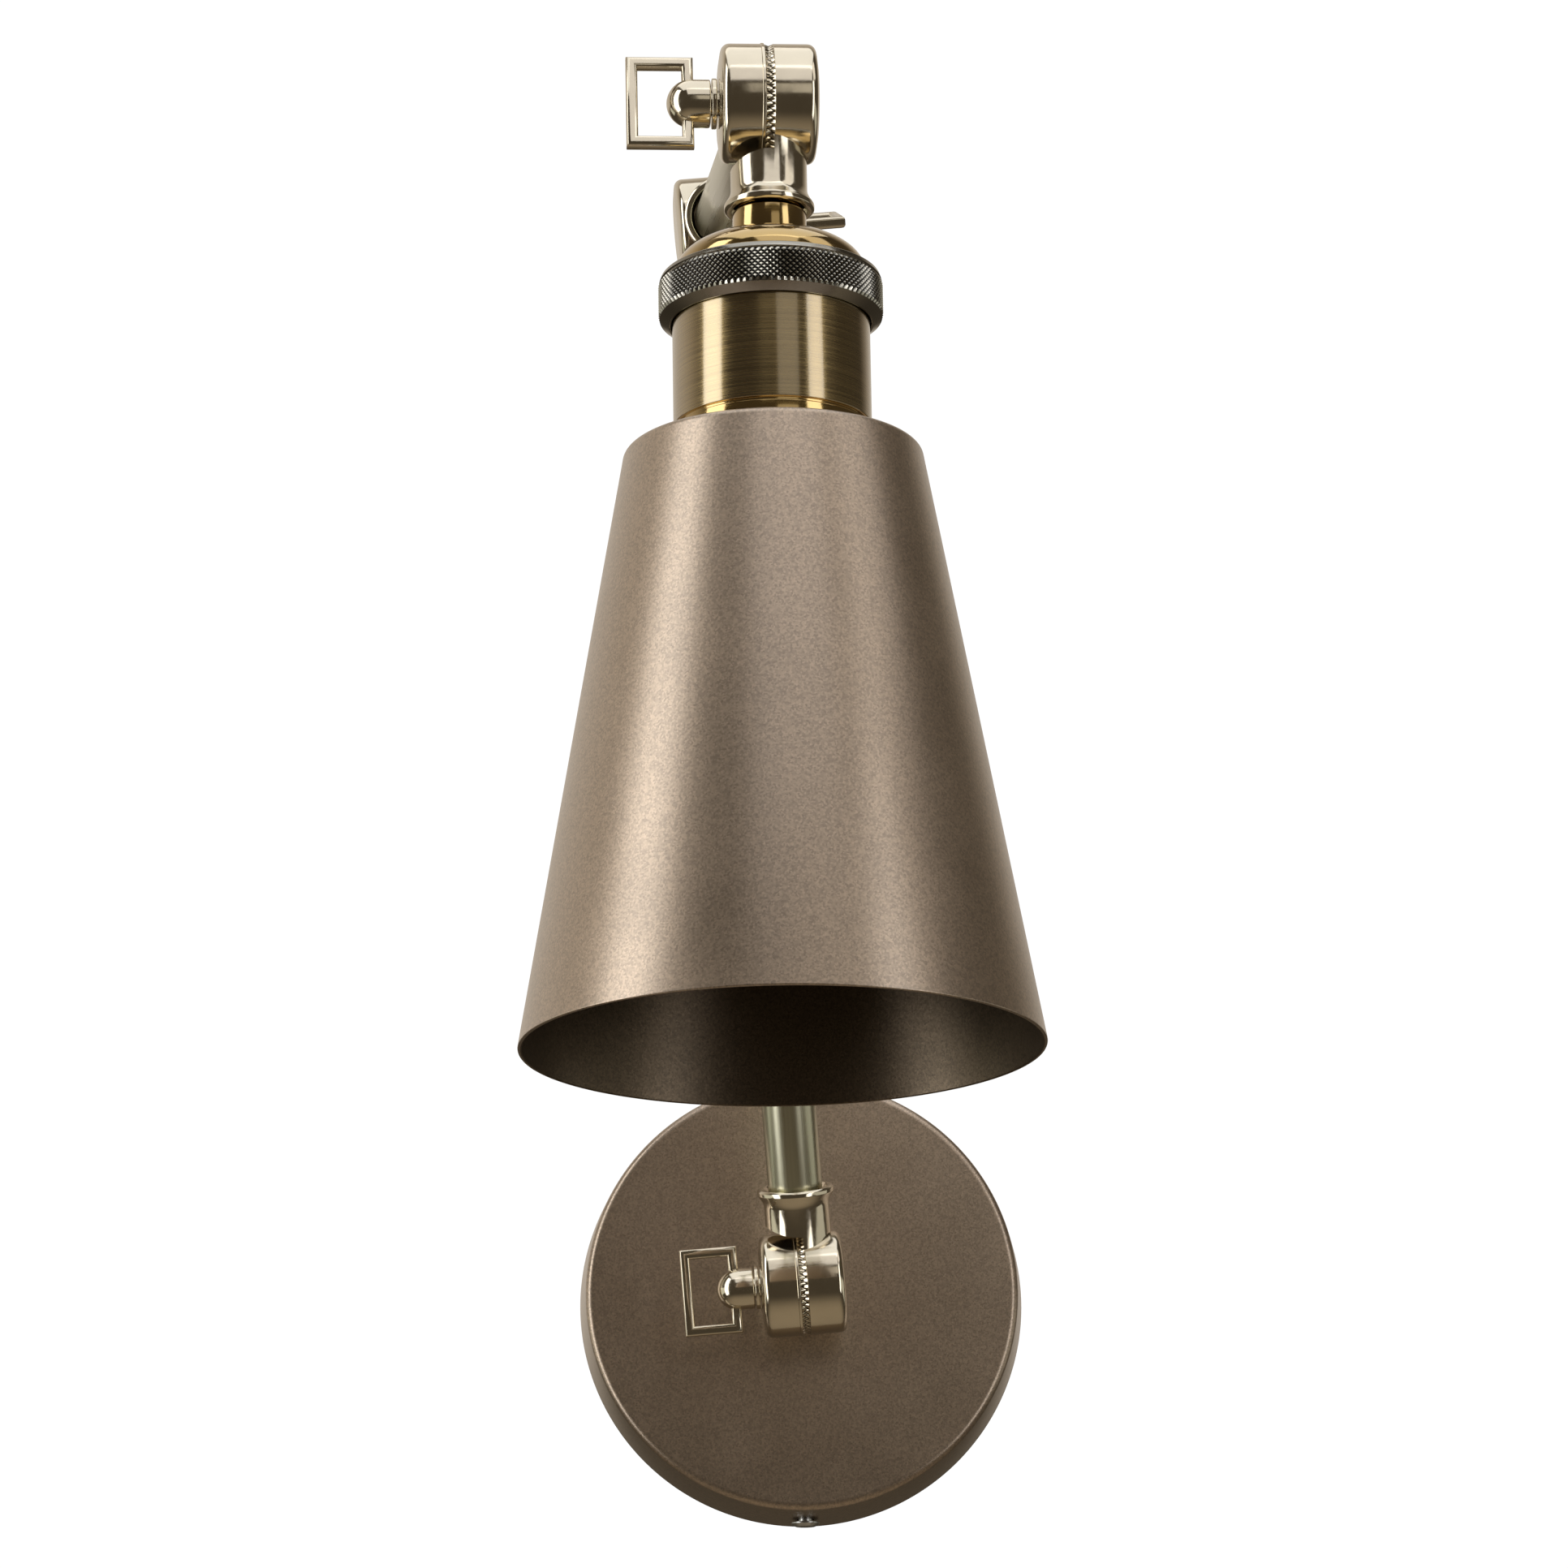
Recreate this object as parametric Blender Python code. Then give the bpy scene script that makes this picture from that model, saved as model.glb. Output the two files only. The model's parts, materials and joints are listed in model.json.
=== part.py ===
"""Adjustable swing-arm picture light: wall plate, two tube arms, three clamp knuckles, shade.

Metres, +Z up. The wall is the plane Y = 0 and the light stands out towards -Y. The origin is the
centre of the mounting strap's rear face. Each arm and the lamp head hang from an empty on their
hinge: local +X is the hinge axis and local +Z runs outwards along the arm.
"""

from math import cos, pi, radians, sin, sqrt

import bmesh
import bpy
from mathutils import Matrix

MM = 0.001
GAP = 0.3 * MM  # between neighbouring pieces

# Rest pose: how far each clamp joint is turned, and how the threaded ends are clocked
WALL_ROLL = radians(-3.9)
LOWER_LEAN = radians(18.0)
LOWER_TWIST = radians(2.3)
ELBOW_BEND = radians(82.0)
UPPER_TWIST = radians(-5.0)
HEAD_BEND = radians(76.8)
WALL_KEY_TURN = radians(4.0)
ELBOW_KEY_TURN = radians(111.0)
HEAD_KEY_TURN = radians(-11.0)

# Arms, hinge to hinge
WALL_STANDOFF = 40.3 * MM
LOWER_LENGTH = 252.0 * MM
UPPER_LENGTH = 187.5 * MM

# Knuckle halves
DISC_R = 12.5 * MM
SEAM = 0.25 * MM  # from the middle plane to each half's face
DISC_W = 10.2 * MM  # from the middle plane to the outer side
DISC_ROUND = 1.5 * MM
DISC_DOME = 0.7 * MM
NECK_R = 7.8 * MM
COLLAR_R = 9.3 * MM
COLLAR_END = 23.6 * MM
BASE_COLLAR_END = 16.3 * MM
SOCKET_R = 6.8 * MM
SOCKET_START = 15.5 * MM
SOCKET_BEVEL = 1.3 * MM
WIRE_R = 2.6 * MM
WIRE_START = 7.0 * MM
SWING_CLEARANCE = 2.3 * MM  # round a disc, where the other half's neck is cut back
BEAD_R = 0.7 * MM
CLEAR_OF_DISC = 14.0 * MM  # a place on the hinge axis well outside a disc
THREAD_DEPTH = 8.6 * MM
RECESS_R = 9.2 * MM
RECESS_BOSS_R = 4.6 * MM
RECESS_DEPTH = 2.8 * MM

# Arm tubes and their leads
TUBE_R = 6.5 * MM
TUBE_WALL = 1.1 * MM
TUBE_INSET = 15.9 * MM
LEAD_R = 1.9 * MM
LEAD_INSET = 2.0 * MM

# Clamp keys
SHANK_R = 2.4 * MM
SHANK_CLEAR_R = 2.8 * MM
SHANK_REACH = 7.6 * MM
HUB_R = 4.95 * MM
HUB_TIP = DISC_W + 10.5 * MM
BOW_FAR = DISC_W + 18.8 * MM
BOW_WIDTH = 13.8 * MM
BOW_HEIGHT = 20.8 * MM
BOW_BAR = 2.4 * MM
BOW_THICK = 2.8 * MM
BOW_CHAMFER = 0.45 * MM
WASHER_R = 5.7 * MM
WASHER_T = 1.0 * MM
WASHER_FACE = DISC_W + 0.3 * MM

# Wall plate
PLATE_R_REAR = 54.2 * MM
PLATE_R_FRONT = 52.4 * MM
PLATE_DEPTH = 23.7 * MM
PLATE_EDGE = 1.9 * MM
SHEET = 1.2 * MM
SIDE_SCREW_Y = 9.5 * MM
SIDE_SCREW_R = 1.75 * MM
SIDE_SCREW_HEAD_R = 3.4 * MM
SIDE_SCREW_TIP = 45.0 * MM

# Mounting strap
STRAP_HALF = 49.6 * MM
STRAP_WIDTH = 20.0 * MM
STRAP_T = 1.6 * MM
STRAP_TAB = 14.5 * MM
WALL_SLOT_Z = 31.0 * MM
CABLE_HOLE_Z = 15.0 * MM
CABLE_HOLE_R = 4.0 * MM
TERMINAL_Z = -14.0 * MM
EARTH_Z = 41.5 * MM

# Stem thread
STEM_R = 4.85 * MM
STEM_BORE = 3.2 * MM
STEM_WASHER_T = 1.2 * MM
STEM_NUT_T = 3.0 * MM
STEM_NUT_HALF_FLATS = 7.0 * MM

# Lamp holder, as distances down the head from its hinge
NIPPLE_R = 7.5 * MM
CAP_TOP = 28.9 * MM
CAP_R = 19.5 * MM
CAP_HEIGHT = 8.6 * MM
CAP_POWER = 2.2
CAP_END = 44.5 * MM
RING_TOP = 37.6 * MM
RING_KNURL_TOP = 39.3 * MM
RING_KNURL_END = 46.4 * MM
RING_END = 48.0 * MM
RING_R = 22.8 * MM
SHELL_R = 20.0 * MM
BAND_TOP = 69.8 * MM
SHADE_TOP = 75.5 * MM
SKIRT_R = 18.3 * MM
SKIRT_END = 88.0 * MM

# Shade
SHADE_BOTTOM = 198.0 * MM
SHADE_TOP_R = 30.3 * MM
SHADE_BOTTOM_R = 51.9 * MM
SHADE_SHEET = 0.8 * MM
SHADE_SHOULDER = 1.6 * MM

# Lampholder insert
INSERT_TOP = 46.0 * MM
INSERT_FLOOR = 57.0 * MM
INSERT_END = 85.0 * MM
INSERT_R = 16.6 * MM
INSERT_WELL_R = 14.6 * MM
SCREW_SHELL_R = 14.2 * MM
SCREW_SHELL_BORE = 13.5 * MM
SCREW_SHELL_END = 83.0 * MM
TERMINAL_OFFSET = 9.5 * MM

THROUGH = 60 * MM  # half the length of a cutter that goes right across the plate

# Steps round a turned piece
WIDE = 60
ROUND = 36
MIDDLE = 24
SMALL = 16
TINY = 12

FINISHES = {
    "bronze_paint": ((0.33, 0.22, 0.17), 0.42, 0.75),
    "champagne_plate": ((0.68, 0.60, 0.46), 0.14, 1.0),
    "pale_brass": ((0.72, 0.68, 0.52), 0.28, 1.0),
    "antique_brass": ((0.45, 0.34, 0.16), 0.30, 1.0),
    "dark_brass": ((0.30, 0.27, 0.20), 0.35, 1.0),
    "zinc_steel": ((0.60, 0.61, 0.62), 0.38, 1.0),
    "porcelain": ((0.86, 0.84, 0.79), 0.25, 0.0),
    "copper": ((0.80, 0.48, 0.30), 0.30, 1.0),
    "nylon": ((0.80, 0.79, 0.74), 0.50, 0.0),
    "lead_black": ((0.03, 0.03, 0.03), 0.60, 0.0),
}


def clear_scene():
    for obj in list(bpy.data.objects):
        bpy.data.objects.remove(obj, do_unlink=True)


def finish(name):
    """The material of this name, made the first time it is asked for."""
    found = bpy.data.materials.get(name)
    if found:
        return found
    colour, roughness, metallic = FINISHES[name]
    made = bpy.data.materials.new(name)
    made.use_nodes = True
    shader = made.node_tree.nodes["Principled BSDF"]
    shader.inputs["Base Color"].default_value = (*colour, 1.0)
    shader.inputs["Roughness"].default_value = roughness
    shader.inputs["Metallic"].default_value = metallic
    made.diffuse_color = (*colour, 1.0)
    return made


def frame_empty(name, parent=None, place=(0, 0, 0), turn=(0, 0, 0)):
    empty = bpy.data.objects.new(name, None)
    empty.empty_display_size = 10 * MM
    empty.parent = parent
    empty.location = place
    empty.rotation_euler = turn
    bpy.context.collection.objects.link(empty)
    return empty


def piece(name, shape, look, parent=None, place=(0, 0, 0), turn=(0, 0, 0)):
    """An object made from a bmesh, smooth except at its sharp edges."""
    bmesh.ops.recalc_face_normals(shape, faces=shape.faces)
    mesh = bpy.data.meshes.new(name)
    shape.to_mesh(mesh)
    shape.free()
    mesh.shade_smooth()
    mesh.set_sharp_from_angle(angle=radians(35))
    mesh.materials.append(finish(look))
    obj = bpy.data.objects.new(name, mesh)
    obj.parent = parent
    obj.location = place
    obj.rotation_euler = turn
    bpy.context.collection.objects.link(obj)
    return obj


def combine(target, tools, operation):
    """A Boolean with each tool, which becomes a hidden helper beside the target."""
    for tool in tools:
        tool.hide_render = True
        tool.display_type = "WIRE"
        step = target.modifiers.new(f"{operation.lower()}_{tool.name}", "BOOLEAN")
        step.operation = operation
        step.solver = "EXACT"
        step.object = tool


def turned(outline, steps, axis="Z"):
    """A solid of revolution: outline is a closed loop of (radius, distance along the axis)."""
    shape = bmesh.new()
    rings = []
    for radius, along in outline:
        if radius <= 0:
            rings.append([shape.verts.new((0, 0, along))] * steps)
            continue
        angles = [2 * pi * k / steps for k in range(steps)]
        rings.append([shape.verts.new((radius * cos(a), radius * sin(a), along)) for a in angles])
    for ring, after in zip(rings, rings[1:] + rings[:1]):
        for k in range(steps):
            corners = [ring[k], ring[(k + 1) % steps], after[(k + 1) % steps], after[k]]
            distinct = list(dict.fromkeys(corners))
            if len(distinct) > 2:
                shape.faces.new(distinct)
    if axis == "X":
        bmesh.ops.rotate(shape, verts=shape.verts, matrix=Matrix.Rotation(pi / 2, 3, "Y"))
    if axis == "-Y":
        bmesh.ops.rotate(shape, verts=shape.verts, matrix=Matrix.Rotation(pi / 2, 3, "X"))
    return shape


def sleeve(outer, inner, start, end):
    """The outline of a plain tube."""
    return [(outer, start), (outer, end), (inner, end), (inner, start)]


def rod(radius, start, end):
    """The outline of a plain solid bar."""
    return [(0, start), (radius, start), (radius, end), (0, end)]


def arc(centre, radius, start, end, count):
    """Points of a circular arc in an outline; angles in degrees from the radius direction."""
    angles = [radians(start + (end - start) * k / (count - 1)) for k in range(count)]
    return [(centre[0] + radius * cos(a), centre[1] + radius * sin(a)) for a in angles]


def block(size, centre):
    shape = bmesh.new()
    scale = Matrix.Diagonal((*size, 1.0))
    bmesh.ops.create_cube(shape, size=1.0, matrix=Matrix.Translation(centre) @ scale)
    return shape


def extruded(outline, start, end):
    """A prism along X: outline is a closed loop of (y, z)."""
    shape = bmesh.new()
    near = [shape.verts.new((start, y, z)) for y, z in outline]
    far = [shape.verts.new((end, y, z)) for y, z in outline]
    shape.faces.new(near)
    shape.faces.new(far)
    for k in range(len(outline)):
        n = (k + 1) % len(outline)
        shape.faces.new((near[k], near[n], far[n], far[k]))
    return shape


# Knuckles


def disc_outline(side):
    """One disc about the hinge axis; side -1 is the left half and +1 the right."""
    dome_r = HUB_R + 0.9 * MM
    rim = DISC_W - DISC_DOME
    outline = [(0, SEAM), (DISC_R - 0.5 * MM, SEAM), (DISC_R, SEAM + 0.5 * MM)]
    outline += arc((DISC_R - DISC_ROUND, rim - DISC_ROUND), DISC_ROUND, 0, 78, 3)
    outline += [(dome_r, DISC_W), (0, DISC_W)]
    return [(r, side * x) for r, x in outline]


def neck_outline(end):
    """The neck along +Z with its flared collar."""
    outline = [(0, 0), (NECK_R, 0), (NECK_R, end - 4.6 * MM)]
    outline += [(NECK_R + 0.25 * MM, end - 3.2 * MM), (COLLAR_R - BEAD_R, end - 2.0 * MM)]
    outline += arc((COLLAR_R - BEAD_R, end - BEAD_R), BEAD_R, -60, 90, 3)
    outline += [(0, end)]
    return outline


def tube_way_outline(end):
    """The wire hole from the disc's recess, and the socket that the arm tube enters."""
    way = [(0, WIRE_START), (WIRE_R, WIRE_START), (WIRE_R, SOCKET_START), (SOCKET_R, SOCKET_START)]
    way += [(SOCKET_R, end - SOCKET_BEVEL), (COLLAR_R - 1.1 * MM, end + 0.2 * MM)]
    return way + [(0, end + 0.2 * MM)]


def knuckle_half(name, side, parent, turn=(0, 0, 0), end=COLLAR_END, socket=True, threaded=False):
    """Half of a clamp joint: a disc on one side of the seam and a neck that runs clear of the other."""

    def shaped(suffix, shape):
        return piece(name + suffix, shape, "champagne_plate", parent, turn=turn)

    half = shaped("", turned(disc_outline(side), ROUND, "X"))
    neck = shaped("_neck", turned(neck_outline(end), MIDDLE))
    room = rod(DISC_R + SWING_CLEARANCE, -side * CLEAR_OF_DISC, side * (SEAM + 0.1 * MM))
    combine(neck, [shaped("_other_side", turned(room, ROUND, "X"))], "DIFFERENCE")
    combine(half, [neck], "UNION")
    shank_end = THREAD_DEPTH if threaded else CLEAR_OF_DISC
    shank_way = rod(SHANK_CLEAR_R, side * shank_end, -side * 2 * MM)
    recess = sleeve(RECESS_R, RECESS_BOSS_R, side * RECESS_DEPTH, -side * 1 * MM)
    tube_way = tube_way_outline(end) if socket else rod(STEM_R + GAP, DISC_R + 0.6 * MM, end + 1 * MM)
    cuts = [shaped("_shank_way", turned(shank_way, SMALL, "X"))]
    cuts.append(shaped("_tube_way", turned(tube_way, SMALL)))
    cuts.append(shaped("_recess", turned(recess, SMALL, "X")))
    combine(half, cuts, "DIFFERENCE")


def bow_shape():
    """The key's square ring: a chamfered bar taken round a rectangle with mitred corners."""
    half_bar, half_thick = BOW_BAR / 2, BOW_THICK / 2
    flat, upright = half_bar - BOW_CHAMFER, half_thick - BOW_CHAMFER
    section = [(flat, half_thick), (half_bar, upright), (half_bar, -upright), (flat, -half_thick)]
    section += [(-a, -b) for a, b in section]
    middle = -(BOW_FAR - BOW_WIDTH / 2)
    half_w = BOW_WIDTH / 2 - half_bar
    half_h = BOW_HEIGHT / 2 - half_bar
    shape = bmesh.new()
    loops = []
    for sx, sz in ((-1, -1), (1, -1), (1, 1), (-1, 1)):
        corners = [(middle + sx * (half_w + out), thick, sz * (half_h + out)) for out, thick in section]
        loops.append([shape.verts.new(c) for c in corners])
    for loop, after in zip(loops, loops[1:] + loops[:1]):
        for k in range(len(section)):
            n = (k + 1) % len(section)
            shape.faces.new((loop[k], loop[n], after[n], after[k]))
    return shape


def hub_outline():
    """The key's domed hub and its threaded shank, along the hinge axis."""
    shoulder = WASHER_FACE + WASHER_T + GAP
    outline = [(0, SHANK_REACH), (SHANK_R - 0.5 * MM, SHANK_REACH), (SHANK_R, SHANK_REACH - 0.6 * MM)]
    outline += [(SHANK_R, -shoulder), (HUB_R, -shoulder)]
    quarter = arc((0, -(HUB_TIP - HUB_R)), HUB_R, 0, -90, 5)
    return outline + quarter[:-1] + [(0, -HUB_TIP)]


def clamp_key(name, parent, right, turn_by):
    """A thumb key: left of the joint, or right of it. It turns about the hinge axis."""
    turn = (turn_by, 0, pi) if right else (turn_by, 0, 0)
    key = piece(f"{name}_clamp_key", turned(hub_outline(), SMALL, "X"), "champagne_plate", parent, turn=turn)
    bow = piece(f"{name}_key_bow", bow_shape(), "champagne_plate", parent, turn=turn)
    combine(key, [bow], "UNION")
    ring = sleeve(WASHER_R, SHANK_CLEAR_R, -(WASHER_FACE + WASHER_T), -WASHER_FACE)
    piece(f"{name}_key_washer", turned(ring, SMALL, "X"), "champagne_plate", parent, turn=turn)


# Arms


def arm_tube(name, length, parent):
    """A tube between two collars, with the lead that runs through it."""
    ring = sleeve(TUBE_R, TUBE_R - TUBE_WALL, TUBE_INSET, length - TUBE_INSET)
    piece(f"{name}_tube", turned(ring, MIDDLE), "pale_brass", parent)
    core = rod(LEAD_R, TUBE_INSET + LEAD_INSET, length - TUBE_INSET - LEAD_INSET)
    piece(f"{name}_lead", turned(core, TINY), "lead_black", parent)


def build_arms(wall_axis):
    """Both arms and the keys at their hinges. Returns the head's frame."""
    lower = frame_empty("lower_arm_frame", wall_axis, turn=(LOWER_LEAN, 0, 0))
    knuckle_half("wall_knuckle_arm_half", 1, lower, threaded=True)
    clamp_key("wall", lower, right=False, turn_by=WALL_KEY_TURN - LOWER_LEAN)
    arm_tube("lower_arm", LOWER_LENGTH, lower)
    elbow = frame_empty("elbow_axis", lower, (0, 0, LOWER_LENGTH), (0, 0, LOWER_TWIST))
    knuckle_half("elbow_lower_half", 1, elbow, turn=(pi, 0, 0))
    upper = frame_empty("upper_arm_frame", elbow, turn=(ELBOW_BEND, 0, 0))
    knuckle_half("elbow_upper_half", -1, upper, threaded=True)
    clamp_key("elbow", upper, right=True, turn_by=LOWER_LEAN + ELBOW_BEND - ELBOW_KEY_TURN)
    arm_tube("upper_arm", UPPER_LENGTH, upper)
    head_axis = frame_empty("head_axis", upper, (0, 0, UPPER_LENGTH), (0, 0, UPPER_TWIST))
    knuckle_half("head_knuckle_arm_half", -1, head_axis, turn=(pi, 0, 0))
    head = frame_empty("head_frame", head_axis, turn=(HEAD_BEND, 0, 0))
    return head


# Wall plate


def plate_outline():
    """The dish, as (radius, distance out from the wall)."""
    bend = (PLATE_R_FRONT - PLATE_EDGE, PLATE_DEPTH - PLATE_EDGE)
    hole = STEM_R + GAP
    outline = [(PLATE_R_REAR, 0)]
    outline += arc(bend, PLATE_EDGE, 0, 90, 4)
    outline += [(hole, PLATE_DEPTH), (hole, PLATE_DEPTH - SHEET)]
    outline += arc(bend, PLATE_EDGE - SHEET, 90, 0, 2)
    return outline + [(PLATE_R_REAR - SHEET, 0)]


def build_backplate():
    plate = piece("backplate", turned(plate_outline(), WIDE, "-Y"), "bronze_paint")
    through = rod(SIDE_SCREW_R + 0.4 * MM, -THROUGH, THROUGH)
    holes = piece("backplate_side_holes", turned(through, SMALL), "bronze_paint", place=(0, -SIDE_SCREW_Y, 0))
    combine(plate, [holes], "DIFFERENCE")
    for name, side in (("top", 1), ("bottom", -1)):
        build_plate_screw(f"plate_screw_{name}", side)


def build_plate_screw(name, side):
    """A low-headed screw through the plate's side into the strap's tab."""
    seat = PLATE_R_REAR - 0.3 * MM
    top = seat + 1.2 * MM
    outline = [(0, SIDE_SCREW_TIP), (SIDE_SCREW_R, SIDE_SCREW_TIP), (SIDE_SCREW_R, seat)]
    outline += [(SIDE_SCREW_HEAD_R, seat), (SIDE_SCREW_HEAD_R, seat + 0.6 * MM)]
    outline += [(SIDE_SCREW_HEAD_R - 1.0 * MM, top), (0, top)]
    place = (0, -SIDE_SCREW_Y, 0)
    turn = (0, 0, 0) if side > 0 else (pi, 0, 0)
    screw = piece(name, turned(outline, SMALL), "zinc_steel", place=place, turn=turn)
    slot = block((8 * MM, 0.8 * MM, 1.0 * MM), (0, 0, top))
    combine(screw, [piece(f"{name}_slot", slot, "zinc_steel", place=place, turn=turn)], "DIFFERENCE")


def build_strap():
    """The flat bar on the wall, whose bent ends take the plate's screws."""
    half, inner = STRAP_HALF, STRAP_HALF - STRAP_T
    outline = [(0, -half), (0, half), (-STRAP_TAB, half), (-STRAP_TAB, inner), (-STRAP_T, inner)]
    outline += [(-STRAP_T, -inner), (-STRAP_TAB, -inner), (-STRAP_TAB, -half)]
    across = STRAP_WIDTH / 2
    strap = piece("mounting_strap", extruded(outline, -across, across), "zinc_steel")
    holes = rod(SIDE_SCREW_R + GAP, -THROUGH, THROUGH)
    cuts = [piece("strap_tab_holes", turned(holes, SMALL), "zinc_steel", place=(0, -SIDE_SCREW_Y, 0))]
    for side in (1, -1):
        cuts.append(piece(f"strap_slot_{side}", slot_shape(), "zinc_steel", place=(0, 0, side * WALL_SLOT_Z)))
    entry = turned(rod(CABLE_HOLE_R, -3 * MM, 3 * MM), SMALL, "-Y")
    cuts.append(piece("strap_cable_hole", entry, "zinc_steel", place=(0, 0, CABLE_HOLE_Z)))
    combine(strap, cuts, "DIFFERENCE")


def slot_shape():
    """A round-ended slot for a wall screw, cut through the strap from front to back."""
    reach, radius = 3.5 * MM, 2.3 * MM
    rim = []
    for sign in (1, -1):
        angles = [radians(-90 + 22.5 * k) for k in range(9)]
        rim += [(sign * (reach + radius * cos(a)), sign * radius * sin(a)) for a in angles]
    shape = extruded(rim, -3 * MM, 5 * MM)
    bmesh.ops.rotate(shape, verts=shape.verts, matrix=Matrix.Rotation(-pi / 2, 3, "Z"))
    return shape


def build_stem():
    """The hollow thread that holds the first knuckle on the plate, with its washer and nut."""
    washer_front = PLATE_DEPTH - SHEET - GAP
    nipple = sleeve(STEM_R, STEM_BORE, 12 * MM, WALL_STANDOFF - DISC_R - 0.9 * MM)
    piece("stem_nipple", turned(nipple, SMALL, "-Y"), "zinc_steel")
    washer = sleeve(9.0 * MM, STEM_R + GAP, washer_front - STEM_WASHER_T, washer_front)
    piece("stem_washer", turned(washer, SMALL, "-Y"), "zinc_steel")
    front = washer_front - STEM_WASHER_T - GAP
    corner_r = STEM_NUT_HALF_FLATS / cos(pi / 6)
    nut_shape = turned(rod(corner_r, front - STEM_NUT_T, front), 6, "-Y")
    nut = piece("stem_locknut", nut_shape, "zinc_steel")
    hole = turned(rod(STEM_R + GAP, front - 5 * MM, front + 2 * MM), SMALL, "-Y")
    combine(nut, [piece("stem_locknut_hole", hole, "zinc_steel")], "DIFFERENCE")


def build_wiring():
    """The terminal block and the earth screw on the strap."""
    face = STRAP_T + GAP
    body = block((24 * MM, 9.5 * MM, 10 * MM), (0, -face - 4.75 * MM, 0))
    terminal = piece("terminal_block", body, "nylon", place=(0, 0, TERMINAL_Z))
    cuts = []
    for k in (-1, 0, 1):
        wire_way = turned(rod(1.6 * MM, -8 * MM, 8 * MM), TINY)
        place = (k * 7.5 * MM, -face - 3.6 * MM, TERMINAL_Z)
        cuts.append(piece(f"terminal_way_{k}", wire_way, "nylon", place=place))
    combine(terminal, cuts, "DIFFERENCE")
    head = [(0, face), (3.8 * MM, face), (3.8 * MM, face + 1.1 * MM), (2.6 * MM, face + 2.3 * MM)]
    screw = turned(head + [(0, face + 2.3 * MM)], SMALL, "-Y")
    piece("earth_screw", screw, "zinc_steel", place=(0, 0, EARTH_Z))


def build_wall_knuckle():
    """The fixed half on the plate. Returns the hinge's empty, rolled with the stem's thread."""
    axis = frame_empty("wall_knuckle_axis", None, (0, -WALL_STANDOFF, 0), (0, WALL_ROLL, 0))
    knuckle_half("wall_knuckle_base_half", -1, axis, (-pi / 2, 0, 0), BASE_COLLAR_END, socket=False)
    return axis


# Lamp head


def cap_outline():
    """The domed cap, its top pierced for the nipple, its skirt inside the ring."""
    height, centre = CAP_HEIGHT, CAP_TOP + CAP_HEIGHT
    steps = 5
    start = NIPPLE_R + 0.6 * MM
    radii = [start + (CAP_R - start) * sin(pi / 2 * k / steps) for k in range(steps + 1)]
    dome = [(r, centre - height * (1 - (r / CAP_R) ** CAP_POWER) ** (1 / CAP_POWER)) for r in radii]
    wall = 1.0 * MM
    hole = STEM_R + GAP
    inside = [(max(r - wall, hole), s + wall * 0.9) for r, s in dome]
    outline = [(hole, dome[0][1])] + dome + [(CAP_R, CAP_END), (CAP_R - wall, CAP_END)]
    return outline + inside[::-1] + [(hole, dome[0][1] + wall)]


def ring_outline():
    """The ring below the cap: rounded shoulder, knurled band, chamfer."""
    inner, low_inner = CAP_R + GAP, SHELL_R + GAP
    outline = [(inner, RING_TOP), (RING_R - 1.7 * MM, RING_TOP), (RING_R - 0.6 * MM, RING_TOP + 0.6 * MM)]
    outline += [(RING_R, RING_KNURL_TOP), (RING_R, RING_KNURL_END), (RING_R - 2.1 * MM, RING_END)]
    return outline + [(low_inner, RING_END), (low_inner, CAP_END + GAP), (inner, CAP_END + GAP)]


def shell_outline():
    """The brushed cylinder, the band under it and the threaded skirt that enters the shade."""
    top, foot, inner = CAP_END + GAP, SHADE_TOP - GAP, SKIRT_R - 1.2 * MM
    outline = [(SHELL_R, top), (SHELL_R, BAND_TOP), (SHELL_R - 0.35 * MM, BAND_TOP + 0.3 * MM)]
    outline += [(SHELL_R - 0.35 * MM, foot), (SKIRT_R, foot), (SKIRT_R, SKIRT_END)]
    return outline + [(inner, SKIRT_END), (inner, top)]


def shade_outline():
    """The cone: flat top with the holder's hole, small shoulder, thin straight wall."""
    slope = (SHADE_BOTTOM_R - SHADE_TOP_R) / (SHADE_BOTTOM - SHADE_TOP)
    lean = 1 / sqrt(1 + slope * slope)
    hole = SKIRT_R + GAP
    bend = (SHADE_TOP_R - SHADE_SHOULDER, SHADE_TOP + SHADE_SHOULDER)
    outer = arc(bend, SHADE_SHOULDER, -90, -10, 4)
    inner = arc(bend, SHADE_SHOULDER - SHADE_SHEET, -10, -90, 2)
    outline = [(hole, SHADE_TOP)] + outer + [(SHADE_BOTTOM_R, SHADE_BOTTOM)]
    outline += [(SHADE_BOTTOM_R - SHADE_SHEET * lean, SHADE_BOTTOM)]
    return outline + inner + [(hole, SHADE_TOP + SHADE_SHEET)]


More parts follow.
